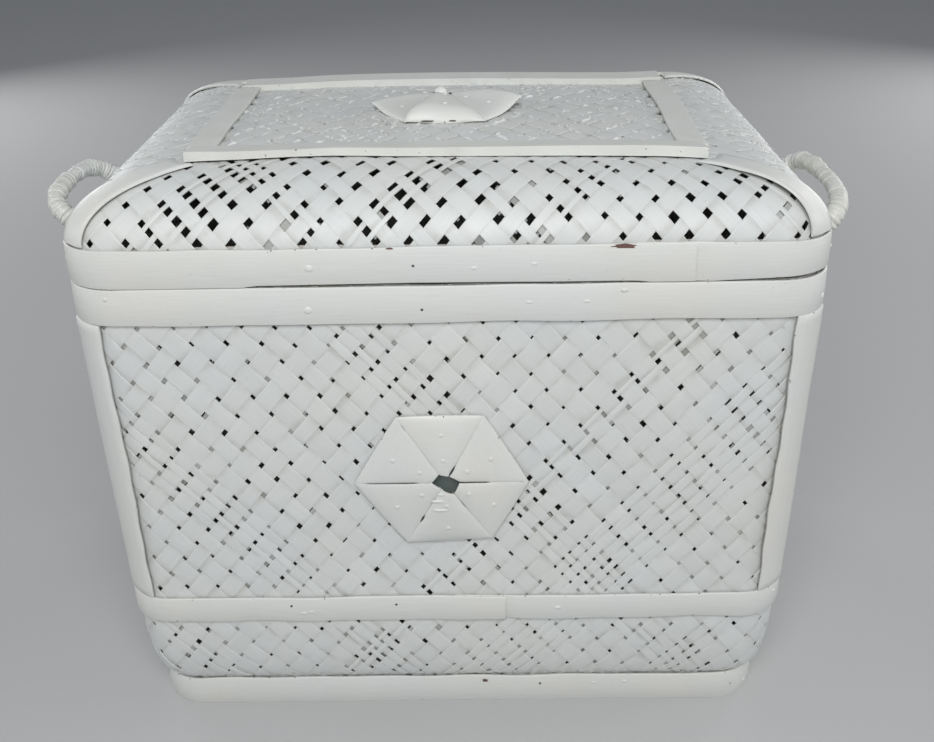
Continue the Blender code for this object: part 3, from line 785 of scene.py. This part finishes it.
def slab(
    part, place, columns, rows, thick, rim=(0.06, 0.02), tone=0.0, along="v", droop=0.4, heart=0.2,
    under=0.0, sharp=50,
):
    """A piece that is a thin slab with soft edges. part holds what Form.piece takes.

    place(u, v) gives the face away from heart, a height on the hamper's axis. thick is its
    thickness, or gives it at (u, v). rim is the width of the edges as shares of u and v, droop how
    far they fall as a share of thick, along the way of the grain, under how dark the foot of the
    sides is painted: painted shade where the slab meets what lies under it.
    """
    us = np.concatenate([[0], np.linspace(rim[0], 1 - rim[0], columns), [1]])
    vs = np.concatenate([[0], np.linspace(rim[1], 1 - rim[1], rows), [1]])
    u, v = np.meshgrid(us, vs)
    step = 0.004
    across = place(np.clip(u + step, 0, 1), v) - place(np.clip(u - step, 0, 1), v)
    down = place(u, np.clip(v + step, 0, 1)) - place(u, np.clip(v - step, 0, 1))
    normal = unit(np.cross(across, down))
    base = place(u, v)
    if np.sum((base - [0, MID_Y, heart]) * normal) < 0:
        normal = -normal
    edge = (u == 0) | (u == 1) | (v == 0) | (v == 1)
    deep = thick(u, v) if callable(thick) else thick * np.ones(u.shape)
    top = base - normal * (edge * droop * deep)[..., None]
    bottom = base - normal * deep[..., None]
    wide, tall = len(us), len(vs)
    count = wide * tall
    faces = []
    for r in range(tall - 1):
        for c in range(wide - 1):
            a = r * wide + c
            quad = [a, a + 1, a + wide + 1, a + wide]
            faces.append(quad)
            faces.append([count + i for i in quad[::-1]])
    number = np.arange(count).reshape(tall, wide)
    border = [*number[0], *number[1:, -1], *number[-1, -2::-1], *number[-2:0:-1, 0]]
    for a, b in zip(border, border[1:] + border[:1]):
        faces.append([b, a, count + a, count + b])
    points = np.concatenate([top.reshape(-1, 3), bottom.reshape(-1, 3)])
    near = np.maximum(np.abs(2 * u - 1), np.abs(2 * v - 1)) ** 8
    none, half, whole = np.zeros(1), np.full(1, 0.5), np.ones(1)
    size = np.linalg.norm(place(whole, half) - place(none, half))
    length = np.linalg.norm(place(half, whole) - place(half, none))
    pair = (v * length, u * size) if along == "v" else (u * size, v * length)
    grain = np.stack([*pair, 0 * u], -1).reshape(-1, 3)
    form = Form()
    form.add(
        points,
        outward(points, faces),
        grain=np.concatenate([grain, grain]),
        worn=np.concatenate([near.ravel(), near.ravel()]),
        # The underside gets thin paint; the foot of the sides gets painted shade, as dark as under says.
        inner=np.concatenate([np.zeros(count), np.where(edge.ravel(), under, 1.0)]),
        tone=tone,
    )
    form.piece(*part, sharp=sharp)


CORNERS = {"front_left": (-1, -1), "front_right": (1, -1), "back_left": (-1, 1), "back_right": (1, 1)}
HALF_ROOT = math.sqrt(0.5)
POST_BEND, POST_HALF, POST_THICK = 0.045, 0.0150, 0.0022
HIP_HALF, HIP_THICK = 0.0112, 0.0019


def posts():
    """Strips bent round the upright corners, outside and inside."""
    low, high = heights("front_left_post")
    for corner, (sx, sy) in CORNERS.items():
        rng = randoms(corner)
        lean = rng.uniform(-0.0006, 0.0006)

        def bent(bend, proud, spread, wave):
            """A strip of this bending radius and half angle, proud of the weave."""

            def place(u, v):
                z = low + (high - low) * v
                inset = wall_inset(z) + WEAVE_DEPTH - WEAVE / 2
                radius = CORNER - (WEAVE_DEPTH - WEAVE / 2)
                middle = (radius + proud - bend) * HALF_ROOT
                wobble = wave * (np.sin(9 * v + sx + 2 * sy) + 0.5 * np.sin(41 * v + sx))
                angle = math.pi / 4 + spread * (2 * u - 1) * (1 + wobble * 0.06) + lean * 20 * (v - 0.5)
                x = HALF_X - inset - radius + middle + bend * np.cos(angle)
                y = HALF_Y - inset - radius + middle + bend * np.sin(angle)
                return np.stack([sx * x, sy * y + MID_Y, z], -1)

            return place

        part = corner + "_post_strip", BAND_PAINT, "basket", "painted_splint", corner + "_post"
        place, tone = bent(POST_BEND, GAP + 0.0027, POST_HALF / POST_BEND, 1.0), rng.normal(0, 0.01)
        # under paints shade at the foot of the strip's sides.
        slab(part, place, 7, 40, POST_THICK, rim=(0.035, 0.004), tone=tone, under=0.8)
        part = corner + "_inner_strip", INSIDE_PAINT, "basket", "inside_splint", corner + "_inner_post"
        bend = CORNER - WEAVE_DEPTH - WEAVE / 2 - GAP
        slab(part, bent(bend, -WEAVE - GAP, math.radians(24), 0.3), 5, 12, 0.002, rim=(0.04, 0.005))


def corner_fall(radius, lateral):
    """How far a rounded corner falls back at this distance to the side of its middle."""
    limit = radius * HALF_ROOT
    bent = radius - np.sqrt(np.clip(radius**2 - np.minimum(lateral, limit) ** 2, 0, None))
    return bent + np.clip(lateral - limit, 0, None)


def hips():
    """Wide splints over the four hips of the lid, standing off the weave at their edges."""
    first, last = math.radians(2), math.radians(88)
    for corner, (sx, sy) in CORNERS.items():
        rng = randoms("hip_" + corner)
        stands = {"front_right": 1.0, "front_left": 0.35}.get(corner, 0.0)
        out = np.array([sx * HALF_ROOT, sy * HALF_ROOT, 0.0])
        sideways = np.array([-sy * HALF_ROOT, sx * HALF_ROOT, 0.0])

        def ridge(angle):
            half_x, half_y, radius, z = dome_layer(angle)
            fall = radius * (1 - HALF_ROOT)
            x, y = sx * (half_x - fall), sy * (half_y - fall)
            z = z + warp(x, y) * np.clip(2 * angle / math.pi, 0, 1) ** 4
            return np.stack([x, y + MID_Y, z], -1), radius

        def place(u, v):
            angle = first + (last - first) * v
            middle, radius = ridge(angle)
            tangent = ridge(angle + 0.01)[0] - ridge(angle - 0.01)[0]
            normal = unit(np.cross(np.broadcast_to(sideways, tangent.shape), tangent))
            width = HIP_HALF + 0.0006 * np.sin(5 * v + sx)
            lateral = width * (2 * u - 1)
            fall = (0.50 if sy < 0 else 0.88) * corner_fall(radius, np.abs(lateral))
            raised = WEAVE / 2 + GAP + 0.0021
            facing = u if sx * sy > 0 else 1 - u
            raised = raised + 0.0032 * stands * facing**2 * np.sin(math.pi * np.clip(1.25 * v, 0, 1))
            shift = sideways * lateral[..., None] - out * fall[..., None]
            return middle + normal * raised[..., None] + shift

        part = "hip_strip_" + corner, BAND_PAINT, "lid", "painted_splint", "lid_hip_" + corner
        slab(part, place, 7, 30, HIP_THICK, rim=(0.04, 0.006), tone=rng.normal(0, 0.01))


# Thickness of the front lath, from left to right.
LATH_DEPTH = (
    (0.00, 0.0066), (0.07, 0.0056), (0.15, 0.0050), (0.22, 0.0047), (0.29, 0.0052), (0.41, 0.0054),
    (0.60, 0.0060), (0.75, 0.0066), (0.87, 0.0069), (1.00, 0.0069),
)


def laths():
    """The frame of four laths on the lid. The front and back ones lie across the ends of the others."""
    reach = INNER_Y - GAP
    boxes = {
        "front": (-FRAME_X, FRAME_X, -FRAME_Y, -INNER_Y),
        "back": (-FRAME_X, FRAME_X, INNER_Y, FRAME_Y),
        "left": (-SIDE_OUTER, -SIDE_INNER, -reach, reach),
        "right": (SIDE_INNER, SIDE_OUTER, -reach, reach),
    }
    for side, (x0, x1, y0, y1) in boxes.items():
        rng = randoms("lath_" + side)
        lengthways = side in ("front", "back")
        near_x = x0 if abs(x0) < abs(x1) else x1
        near_y = y0 if abs(y0) < abs(y1) else y1
        bow, phase = rng.uniform(0.0002, 0.0005), rng.uniform(0, 6)
        lean = {"front": -0.0022, "back": 0.0006}.get(side, 0.0)

        def thick(u, v):
            if side == "front":
                return np.interp(u, *np.array(LATH_DEPTH).T)
            return np.full(np.shape(u), 0.0055 if lengthways else 0.0032)

        def place(u, v):
            x, y = x0 + (x1 - x0) * u, y0 + (y1 - y0) * v
            under = crown(x, near_y) if lengthways else crown(near_x, y)
            run = u if lengthways else v
            z = under + WEAVE / 2 - 0.0005 + thick(u, v) + bow * np.sin(7 * run + phase)
            z = z + lean * (v - 0.5)
            if lengthways:
                y = y + 0.0006 * np.sin(9 * u + phase)
            else:
                x = x + 0.0006 * np.sin(9 * v + phase)
            return np.stack([x, y + MID_Y, z], -1)

        part = "frame_lath_" + side, LATH_PAINT, "lid", "painted_splint", "lid_frame_" + side
        counts, rim = ((40, 5), (0.002, 0.024)) if lengthways else ((5, 30), (0.022, 0.003))
        # Side laths get painted shade at the foot of their sides.
        along, under = ("u", 0.0) if lengthways else ("v", 1.0)
        slab(part, place, *counts, thick, rim, along=along, droop=0.10, under=under, sharp=30)


def slats():
    for number in (1, 2, 3):
        node = f"base_slat_{number}"
        low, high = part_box(node)

        def place(u, v):
            x, y = low.x + (high.x - low.x) * u, low.y + (high.y - low.y) * v
            return np.stack([x, y, np.full(u.shape, high.z)], -1)

        part = f"floor_slat_{number}", INSIDE_PAINT, "basket", "inside_splint", node
        slab(part, place, 3, 12, high.z - low.z, rim=(0.05, 0.01), droop=0.15, heart=-1.0)


# Rosettes ------------------------------------------------------------------------------


def petal_height(shape, number, share, u):
    """Height above the weave: a cone with a puffed middle, whose sides may have come up."""
    share = np.clip(share, 0, 1)
    pillow = (1 - share ** shape["steep"]) * np.sin(math.pi / 2 * np.clip(share / 0.45, 0, 1))
    first, second, tucked = shape["sides"][number]
    side = first * (1 - u) ** 3 + second * u**2.2
    return (
        GAP
        + shape["thick"]
        + shape["rise"] * (1 - share) ** 0.8
        + shape["puff"][number] * (1 - np.abs(2 * u - 1) ** shape["broad"]) * pillow
        + side * (pillow if tucked else np.sin(0.68 * math.pi * share))
        - shape["seat"] * share**20
    )


def rosette(prefix, shape, to_world, body):
    """Six petals with slightly open seams. to_world takes across, up and out."""
    rng = randoms(prefix)
    corners = 0.001 * np.array(shape["corners"])
    middle = 0.001 * np.array(shape["middle"])

    def opening(seam, share):
        """Half of the width of a seam, along it."""
        low, high, size = shape["seams"].get(seam % 6, (0, 1, 0))
        return shape["seam"] + size * np.clip(np.minimum(share - low, high - share) / 0.05, 0, 1)

    for number in range(6):
        first, second = corners[number], corners[(number + 1) % 6]
        holes = shape["holes"][number], shape["holes"][(number + 1) % 6]
        side = (second - first) / np.linalg.norm(second - first)
        tuck = rng.uniform(-0.0005, 0.0005)

        def place(u, v):
            share = 1 - (1 - holes[0] * (1 - u) - holes[1] * u) * v
            share = share + shape["swell"] * 4 * u * (1 - u) * share
            flat = first + (second - first) * u[..., None] - middle
            flat = middle + share[..., None] * flat
            shift = opening(number, share) * (1 - u) - opening(number + 1, share) * u
            flat = flat + side * shift[..., None] / 0.866
            height = petal_height(shape, number, share, u) + tuck * (1 - share)
            return to_world(flat[..., 0], flat[..., 1], height)

        names = f"{prefix}_petal_piece_{number + 1}", f"{prefix}_rosette_petal_{number + 1}"
        part = names[0], BAND_PAINT, body, "painted_splint", names[1]
        tone = rng.normal(0, 0.012)
        slab(part, place, 20, 22, shape["thick"], (0.012, 0.012), tone, "u", shape["droop"])


FRONT_CENTRE = (-0.002, 0.211)
FRONT_SHAPE = dict(
    # Corners and middle in millimetres, from the right and anticlockwise.
    corners=((55.5, -3.9), (24.9, 49.2), (-35.1, 48.6), (-66.0, -3.9), (-31.0, -53.9), (29.7, -51.1)),
    middle=(-2.5, 0.0),
    holes=(0.176, 0.10, 0.13, 0.149, 0.10, 0.19),
    seam=-0.0001,
    droop=0.14,
    rise=0.0062,
    puff=(0.0014, 0.0018, 0.0014, 0.0014, 0.0024, 0.0014),
    sides=((0, 0, False),) * 6,
    steep=9,
    broad=2.4,
    seat=0.0,
    thick=0.0015,
    swell=0.006,
    # For each seam, where it gapes: from and to as shares of its length, and half the gap.
    seams={
        0: (0.10, 0.55, 0.0007), 1: (0.08, 0.27, 0.0009), 2: (0.80, 0.90, 0.0005),
        3: (0.28, 0.90, 0.0007), 4: (0.52, 0.66, 0.0008), 5: (0.34, 0.40, 0.0006),
    },
)
LID_CENTRE = (-0.002, 0.008)
LID_SHAPE = dict(
    corners=((57.0, 0.0), (28.5, 49.4), (-28.5, 49.4), (-57.0, 0.0), (-29.5, -49.4), (29.5, -49.4)),
    middle=(-1.5, 0.0),
    holes=(0.05,) * 6,
    seam=0.00005,
    droop=0.3,
    rise=0.0068,
    puff=(0.0030, 0.0020, 0.0020, 0.0004, 0.0062, 0.0016),
    # How far each petal's two sides have come up, and whether their feet are tucked in.
    sides=(
        (0.0062, 0, False), (0, 0.0010, False), (0.0005, 0.0030, False), (0.0038, 0, False),
        (0.0060, 0.0008, True), (0.0004, 0.0076, False),
    ),
    steep=14,
    broad=3.6,
    seat=0.0012,
    thick=0.0015,
    swell=0.004,
    seams={
        0: (0.20, 0.60, 0.0003), 1: (0.08, 0.42, 0.0006), 2: (0.10, 0.35, 0.0006),
        4: (0.30, 0.95, 0.0004),
    },
)


def front_place(across, up, out):
    """A place on the front rosette."""
    lean = WAIST_INSET / (RIM_BOTTOM - WAIST_TOP)
    rise = unit(np.array([0.0, -lean, 1.0]))
    normal = np.array([0.0, -rise[2], rise[1]])
    inset = float(wall_inset(np.array(FRONT_CENTRE[1])))
    middle = np.array([FRONT_CENTRE[0], MID_Y - (HALF_Y - BAND - GAP - inset), FRONT_CENTRE[1]])
    across, up, out = (np.asarray(v, float)[..., None] for v in (across, up, out))
    return middle + across * np.array([1.0, 0, 0]) + up * rise + out * normal


def lid_place(across, up, out):
    """A place on the lid's rosette."""
    middle = np.array([LID_CENTRE[0], MID_Y + LID_CENTRE[1], LID_TOP + LID_CROWN])
    across, up, out = (np.asarray(v, float) for v in (across, up, out))
    return middle + np.stack([across, up, out], -1)


def rosettes():
    rosette("front", FRONT_SHAPE, front_place, "basket")
    rosette("lid", LID_SHAPE, lid_place, "lid")
    low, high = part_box("lid_rosette_button")
    form = Form()
    place = np.array((low + high) / 2) + [-0.0040, -0.0020, 0.0046]
    dome(form, place, (0, 0, 1), 0.0046, 0.0064, 14, 6, skirt=0.004)
    form.piece("rosette_button", LATH_PAINT, "lid", "painted_splint", "lid_rosette_button")
    # A dark disc under the front rosette's hole: partly the weave's old grey paint, partly painted shade
    # in the hole.
    form = Form()
    x, y, z = front_place(0.001 * FRONT_SHAPE["middle"][0], 0.0, 0.0004)
    dome(form, np.array([x, y, z]), (0, -1, 0), 0.013, 0.0003, 24, 2)
    form.piece("rosette_backing", BACKING, "basket", "painted_splint")
    ridges, radius = Form(), 0.0013
    for across, up, size, tall in (
        (-0.0075, -0.0150, 0.0052, 0.0009),
        (-0.0060, -0.0225, 0.0056, 0.0011),
        (-0.0050, -0.0095, 0.0036, 0.0006),
    ):
        height = float(petal_height(FRONT_SHAPE, 4, np.array(-up / 0.051), np.array(0.5)))
        centre, above = (front_place(across, up, h) for h in (height, height + 0.01))
        dome(ridges, centre, above - centre, radius, tall, 12, 3, long=size / radius)
    ridges.piece("rosette_paint_ridges", BAND_PAINT, "basket", "painted_splint")


# Tacks ---------------------------------------------------------------------------------


def dome(form, centre, normal, radius, height, sides=10, rings=3, skirt=0.0006, long=1.0):
    """A low painted head with its flat side sunk a little below centre. long stretches it sideways."""
    normal = unit(np.asarray(normal, float))
    across = unit(np.cross((0, 0, 1) if abs(normal[2]) < 0.9 else (1, 0, 0), normal))
    up = np.cross(normal, across)
    rows = [(radius * 1.02, -skirt)]
    angles = np.linspace(0, math.pi / 2, rings + 1)[:-1]
    rows += [(radius * math.cos(a), height * math.sin(a)) for a in angles]
    points = []
    for r, h in rows:
        for k in range(sides):
            a = 2 * math.pi * k / sides
            flat = across * r * long * math.cos(a) + up * r * math.sin(a)
            points.append(centre + flat + normal * h)
    points.append(centre + normal * height)
    faces = [list(range(sides))[::-1]]
    for row in range(len(rows) - 1):
        for k in range(sides):
            a, b = row * sides + k, row * sides + (k + 1) % sides
            faces.append([a, b, b + sides, a + sides])
    last = (len(rows) - 1) * sides
    faces += [[last + k, last + (k + 1) % sides, len(points) - 1] for k in range(sides)]
    form.add(np.array(points), outward(np.array(points), faces), worn=0.2, tone=0.03)


def on_band(s, z, inset, proud=0.0):
    """A place on the outer face of a band, and its outward direction."""
    size = (HALF_X - inset + proud, HALF_Y - inset + proud, CORNER)
    here = np.array([float(v) for v in ring_points(s, *size)])
    ahead = np.array([float(v) for v in ring_points(s + 0.001, *size)])
    along = unit(ahead - here)
    return np.array([here[0], here[1] + MID_Y, z]), np.array([along[1], -along[0], 0.0])


def flake(form, name, centre, normal, wide, tall):
    """A thin irregular patch where the paint has come off."""
    rng = randoms(name)
    normal = unit(np.asarray(normal, float))
    across = unit(np.cross((0, 0, 1), normal))
    up = np.cross(normal, across)
    count = 16
    angles = 2 * math.pi * np.arange(count) / count
    size = rng.uniform(0.55, 1.0, count) / 2
    flat = np.outer(size * np.cos(angles) * wide, across) + np.outer(size * np.sin(angles) * tall, up)
    points = np.concatenate([centre + flat - normal * 0.0006, centre + flat + normal * 0.00025])
    form.add(points, outward(points, tube_faces(2, count)), tone=rng.uniform(-0.2, 0.2))


# Heads, bumps and bare nails on the front: hoop, X and Z in millimetres, and what is there.
FRONT_MARKS = (
    ("lid_hoop", -86.7, 368.6, "head"), ("lid_hoop", -20.7, 369.3, "nail"),
    ("lid_hoop", 55.9, 369.7, "bump"), ("lid_hoop", 17.8, 367.3, "bump"),
    ("rim_band", -89.5, 340.0, "head"), ("rim_band", -16.1, 339.3, "nail"),
    ("rim_band", 52.9, 343.5, "bump"), ("rim_band", 89.8, 343.6, "bump"),
    ("rim_band", 113.7, 350.8, "lump"), ("waist_hoop", -123.7, 101.9, "nail"),
    ("waist_hoop", -44.6, 102.1, "nail"), ("waist_hoop", -114.6, 95.4, "bump"),
    ("waist_hoop", -109.3, 96.3, "bump"), ("waist_hoop", 77.0, 98.2, "lump"),
    ("foot_hoop", 69.1, 16.1, "nail"), ("foot_hoop", 114.9, 15.9, "bump"),
    ("foot_hoop", 140.2, 17.1, "bump"),
)
MARK_SIZES = {"head": (0.0026, 0.0008, 1.1), "bump": (0.0013, 0.0006, 1.8), "lump": (0.0016, 0.0011, 1.7)}


def tacks():
    basket, lid, bare_basket, bare_lid, nails, lid_nails = (Form() for _ in range(6))
    hoops = {
        "rim_band": (basket, nails, 0.0, RIM_BOTTOM, RIM_TOP, 0.055),
        "waist_hoop": (basket, nails, WAIST_INSET, WAIST_BOTTOM, WAIST_TOP, 0.075),
        "foot_hoop": (basket, nails, FOOT_INSET, 0.0, FOOT_TOP, 0.07),
        "lid_hoop": (lid, lid_nails, 0.0, LID_BOTTOM, LID_BAND_TOP, 0.060),
    }
    for name, (form, _, inset, low, high, pitch) in hoops.items():
        rng = randoms("tacks_" + name)
        s = FRONT_HALF + rng.uniform(0.3, 1.0) * pitch
        while s < ROUND - FRONT_HALF:
            z = low + (high - low) * rng.choice([0.28, 0.72, 0.5]) + rng.uniform(-0.002, 0.002)
            centre, normal = on_band(s, z, inset, float(face_wave(name, s)))
            dome(form, centre, normal, rng.uniform(0.0013, 0.0020), rng.uniform(0.0006, 0.0010))
            s += pitch * rng.uniform(0.55, 1.45)
    for name, x, z, kind in FRONT_MARKS:
        form, nail, inset = hoops[name][:3]
        centre, normal = on_band(x / 1000, z / 1000, inset, float(face_wave(name, x / 1000)) + 0.0001)
        if kind == "nail":
            dome(nail, centre, normal, 0.0010, 0.0004)
        else:
            radius, height, long = MARK_SIZES[kind]
            dome(form, centre, normal, radius, height, 12, 3, long=long)
    for name, x, z, wide, tall in (
        ("lid_hoop", 0.1125, LID_BAND_TOP - 0.0012, 0.019, 0.0036),
        ("foot_hoop", 0.0228, 0.0197, 0.0050, 0.0034),
        ("lid_hoop", -0.0350, LID_BAND_TOP - 0.0004, 0.0060, 0.0012),
    ):
        centre, normal = on_band(x, z, hoops[name][2], float(face_wave(name, x)) + 0.0002)
        bare = bare_lid if name == "lid_hoop" else bare_basket
        flake(bare, f"flake_{x}", centre, normal, wide, tall)
    for across, up, height, wide, tall in (
        (-0.0130, -0.0500, 0.0010, 0.011, 0.0012),
        (0.0050, -0.0500, 0.0010, 0.007, 0.0010),
        (-0.0085, 0.0000, 0.0100, 0.003, 0.0014),
        (0.0030, -0.0030, 0.0105, 0.003, 0.0016),
    ):
        centre = lid_place(across, up, height)
        flake(lid_nails, f"flake_{across}", centre, (0.0, -0.8, 0.6), wide, tall)
    for number in range(6):
        for share in (0.36, 0.74):
            for shape, place, form in ((FRONT_SHAPE, front_place, basket), (LID_SHAPE, lid_place, lid)):
                corners, middle = (0.001 * np.array(shape[key]) for key in ("corners", "middle"))
                edge = (corners[number] + corners[(number + 1) % 6]) / 2
                height = float(petal_height(shape, number, np.array(share), np.array(0.5)))
                spot = middle + share * (edge - middle)
                centre = place(*spot, height)
                dome(form, centre, place(*spot, height + 0.01) - centre, 0.0018, 0.0008)
    for form, name, material, body in (
        (basket, "basket_tacks", BAND_PAINT, "basket"),
        (lid, "lid_tacks", BAND_PAINT, "lid"),
        (bare_basket, "basket_bare_spots", BARE, "basket"),
        (bare_lid, "lid_bare_spots", BARE, "lid"),
        (nails, "basket_nails", RUST, "basket"),
        (lid_nails, "lid_nails_and_chips", RUST, "lid"),
    ):
        form.piece(name, material, body, "painted_splint")


# Handles -------------------------------------------------------------------------------

HANDLES = {
    "left": dict(sign=-1, y=-0.0940, half=0.0505, rise=0.0162, tilt=36.0, x=0.2482, z=0.3934),
    "right": dict(sign=1, y=-0.0850, half=0.0600, rise=0.0146, tilt=51.6, x=0.2522, z=0.3844),
}


def handle_point(form, angle):
    """Places on the middle line of a handle. It starts and ends a little inside the lid's edge."""
    tilt = math.radians(form["tilt"])
    along = -np.sign(np.cos(angle)) * np.abs(np.cos(angle)) ** 0.78
    up = np.abs(np.sin(angle)) ** 0.78
    rise = form["rise"] * up - 0.0055 * (1 - up) ** 2
    x = form["sign"] * (form["x"] + rise * math.cos(tilt))
    return np.stack([x, form["y"] + form["half"] * along, form["z"] + rise * math.sin(tilt)], -1)


def bound_rod(name, path, radius_at, pitch, ridge, start_turn=0.0):
    """A rod bound with cane: each turn is a rounded ridge that winds round the path."""
    rng = randoms(name)
    sides = 20
    length = np.append(0, np.cumsum(np.linalg.norm(np.diff(path, axis=0), axis=1)))
    count = int(length[-1] / pitch * 7)
    at = np.linspace(0, length[-1], count)
    middle = np.stack([np.interp(at, length, path[:, k]) for k in range(3)], -1)
    tangent = unit(np.gradient(middle, axis=0))
    plane = unit(np.cross(path[-1] - path[0], path[len(path) // 2] - path[0]))
    normal = unit(np.cross(tangent, plane))
    turns = int(length[-1] / pitch) + 4
    sizes = rng.uniform(-0.18, 0.18, turns)
    points, sunk, grain = [], [], []
    for k in range(sides):
        around = 2 * math.pi * k / sides
        phase = at / pitch - k / sides + start_turn + 2
        part = phase - np.floor(phase)
        bead = np.clip(1 - np.abs(2 * part - 1) ** 3.0, 0, 1)
        size = ridge * (1 + 2.8 * sizes[np.clip(phase.astype(int), 0, turns - 1)])
        size = size + 0.00045 * np.sin(at * 310 + 5 * around) * np.sin(3 * around + 160 * at)
        radius = radius_at(at / length[-1]) - ridge + size * bead
        direction = normal * math.cos(around) + plane * math.sin(around)
        points.append(middle + direction * radius[:, None])
        # The grooves between turns are marked sunk, for grime and painted shade.
        sunk.append(1 - bead)
        grain.append(np.stack([np.full(count, around * 0.005), at, np.floor(phase)], -1))
    points = np.stack(points, 1)
    form = Form()
    form.add(
        points,
        outward(points, tube_faces(count, sides)),
        sunk=np.stack(sunk, 1).ravel(),
        worn=np.stack(sunk, 1).ravel() * 0.5,
        grain=np.stack(grain, 1).reshape(-1, 3),
    )
    return form


def handles():
    for side, shape in HANDLES.items():

        def thickness(share):
            lumps = 0.0003 * np.sin(9 * share + shape["sign"]) + 0.00018 * np.sin(31 * share)
            return 0.0057 + lumps + 0.0007 * np.clip(1 - share / 0.3, 0, 1)

        path = handle_point(shape, np.linspace(0.16, math.pi - 0.16, 90))
        form = bound_rod(side, path, thickness, 0.0036, 0.0010)
        part = side + "_cane_binding", CANE_PAINT, "lid", "painted_cane"
        form.piece(*part, side + "_handle_wrap", side + "_handle_core", sharp=75)
        for end in ("front", "back"):
            spread = np.linspace(0.0, 0.42, 30)
            path = handle_point(shape, spread if end == "front" else math.pi - spread)

            def collar(share):
                waist = 0.0010 * np.clip(share, 0, 1) ** 2
                return 0.0070 - waist + 0.0004 * np.sin(11 * share + shape["sign"])

            name = f"{side}_{end}_lashing"
            form = bound_rod(name, path, collar, 0.0030, 0.0011, 0.4)
            node = f"{side}_handle_{end}_lashing"
            form.piece(name, CANE_PAINT, "lid", "painted_cane", node, sharp=75)


# Stage ---------------------------------------------------------------------------------


def stage():
    """A plain pale floor."""
    bpy.ops.mesh.primitive_plane_add(size=24.0, location=(0, 0, 0))
    floor = bpy.context.object
    floor.name = "floor"
    material = bpy.data.materials.new("floor_paint")
    material.use_nodes = True
    shader = material.node_tree.nodes["Principled BSDF"]
    shader.inputs["Base Color"].default_value = (0.48, 0.48, 0.48, 1.0)
    shader.inputs["Roughness"].default_value = 0.85
    floor.data.materials.append(material)


def area_light(name, place, aim, size, power, colour=(1, 1, 1)):
    """A rectangular light that faces the hamper's axis at the height aim."""
    data = bpy.data.lights.new(name, "AREA")
    data.shape = "RECTANGLE"
    data.size, data.size_y = size
    data.energy = power
    data.color = colour
    light = bpy.data.objects.new(name, data)
    light.location = place
    light.rotation_mode = "QUATERNION"
    light.rotation_quaternion = (Vector((0, 0, aim)) - Vector(place)).to_track_quat("-Z", "Y")
    bpy.context.scene.collection.objects.link(light)


def lights():
    world = bpy.data.worlds.new("studio")
    bpy.context.scene.world = world
    world.use_nodes = True
    background = world.node_tree.nodes["Background"]
    background.inputs["Color"].default_value = (0.80, 0.84, 0.90, 1.0)
    background.inputs["Strength"].default_value = 0.31
    for light in (
        ("key", (0.02, -1.26, 1.20), 0.28, (0.95, 0.75), 16.6, (1.0, 0.998, 0.995)),
        ("left", (-2.2, -0.1, 0.60), 0.25, (1.4, 0.9), 7.5, (0.97, 0.985, 1.0)),
        ("right", (2.3, 0.0, 0.80), 0.25, (1.4, 0.9), 13),
        ("back_left", (-1.7, 1.8, 0.8), 0.22, (1.2, 0.9), 12),
        ("back_right", (1.8, 1.8, 0.8), 0.22, (1.2, 0.9), 13),
    ):
        area_light(*light)
    bpy.context.scene.view_settings.view_transform = "Standard"


def camera():
    """The camera: in front of the hamper, above its lid, looking down at it."""
    pitch, turn, roll = math.radians(25.88), math.radians(0.80), math.radians(1.16)
    data = bpy.data.cameras.new("camera")
    data.sensor_width = 36.0
    data.lens = 44.33
    data.clip_start, data.clip_end = 0.05, 60.0
    ahead = Vector((-math.sin(turn), math.cos(turn), 0))
    right = Vector((math.cos(turn), math.sin(turn), 0))
    forward = ahead * math.cos(pitch) - Vector((0, 0, 1)) * math.sin(pitch)
    up = ahead * math.sin(pitch) + Vector((0, 0, 1)) * math.cos(pitch)
    level_right = right * math.cos(roll) - up * math.sin(roll)
    level_up = right * math.sin(roll) + up * math.cos(roll)
    matrix = Matrix((level_right, level_up, -forward)).transposed().to_4x4()
    matrix.translation = Vector((0.0216, -0.8671 + MID_Y, 0.6260))
    view = bpy.data.objects.new("camera", data)
    view.matrix_world = matrix
    bpy.context.scene.collection.objects.link(view)
    bpy.context.scene.camera = view


for step in (camera, lights, stage, woven_walls, woven_lid, woven_floor, bands):
    step()
for step in (posts, hips, laths, slats, rosettes, tacks, handles):
    step()
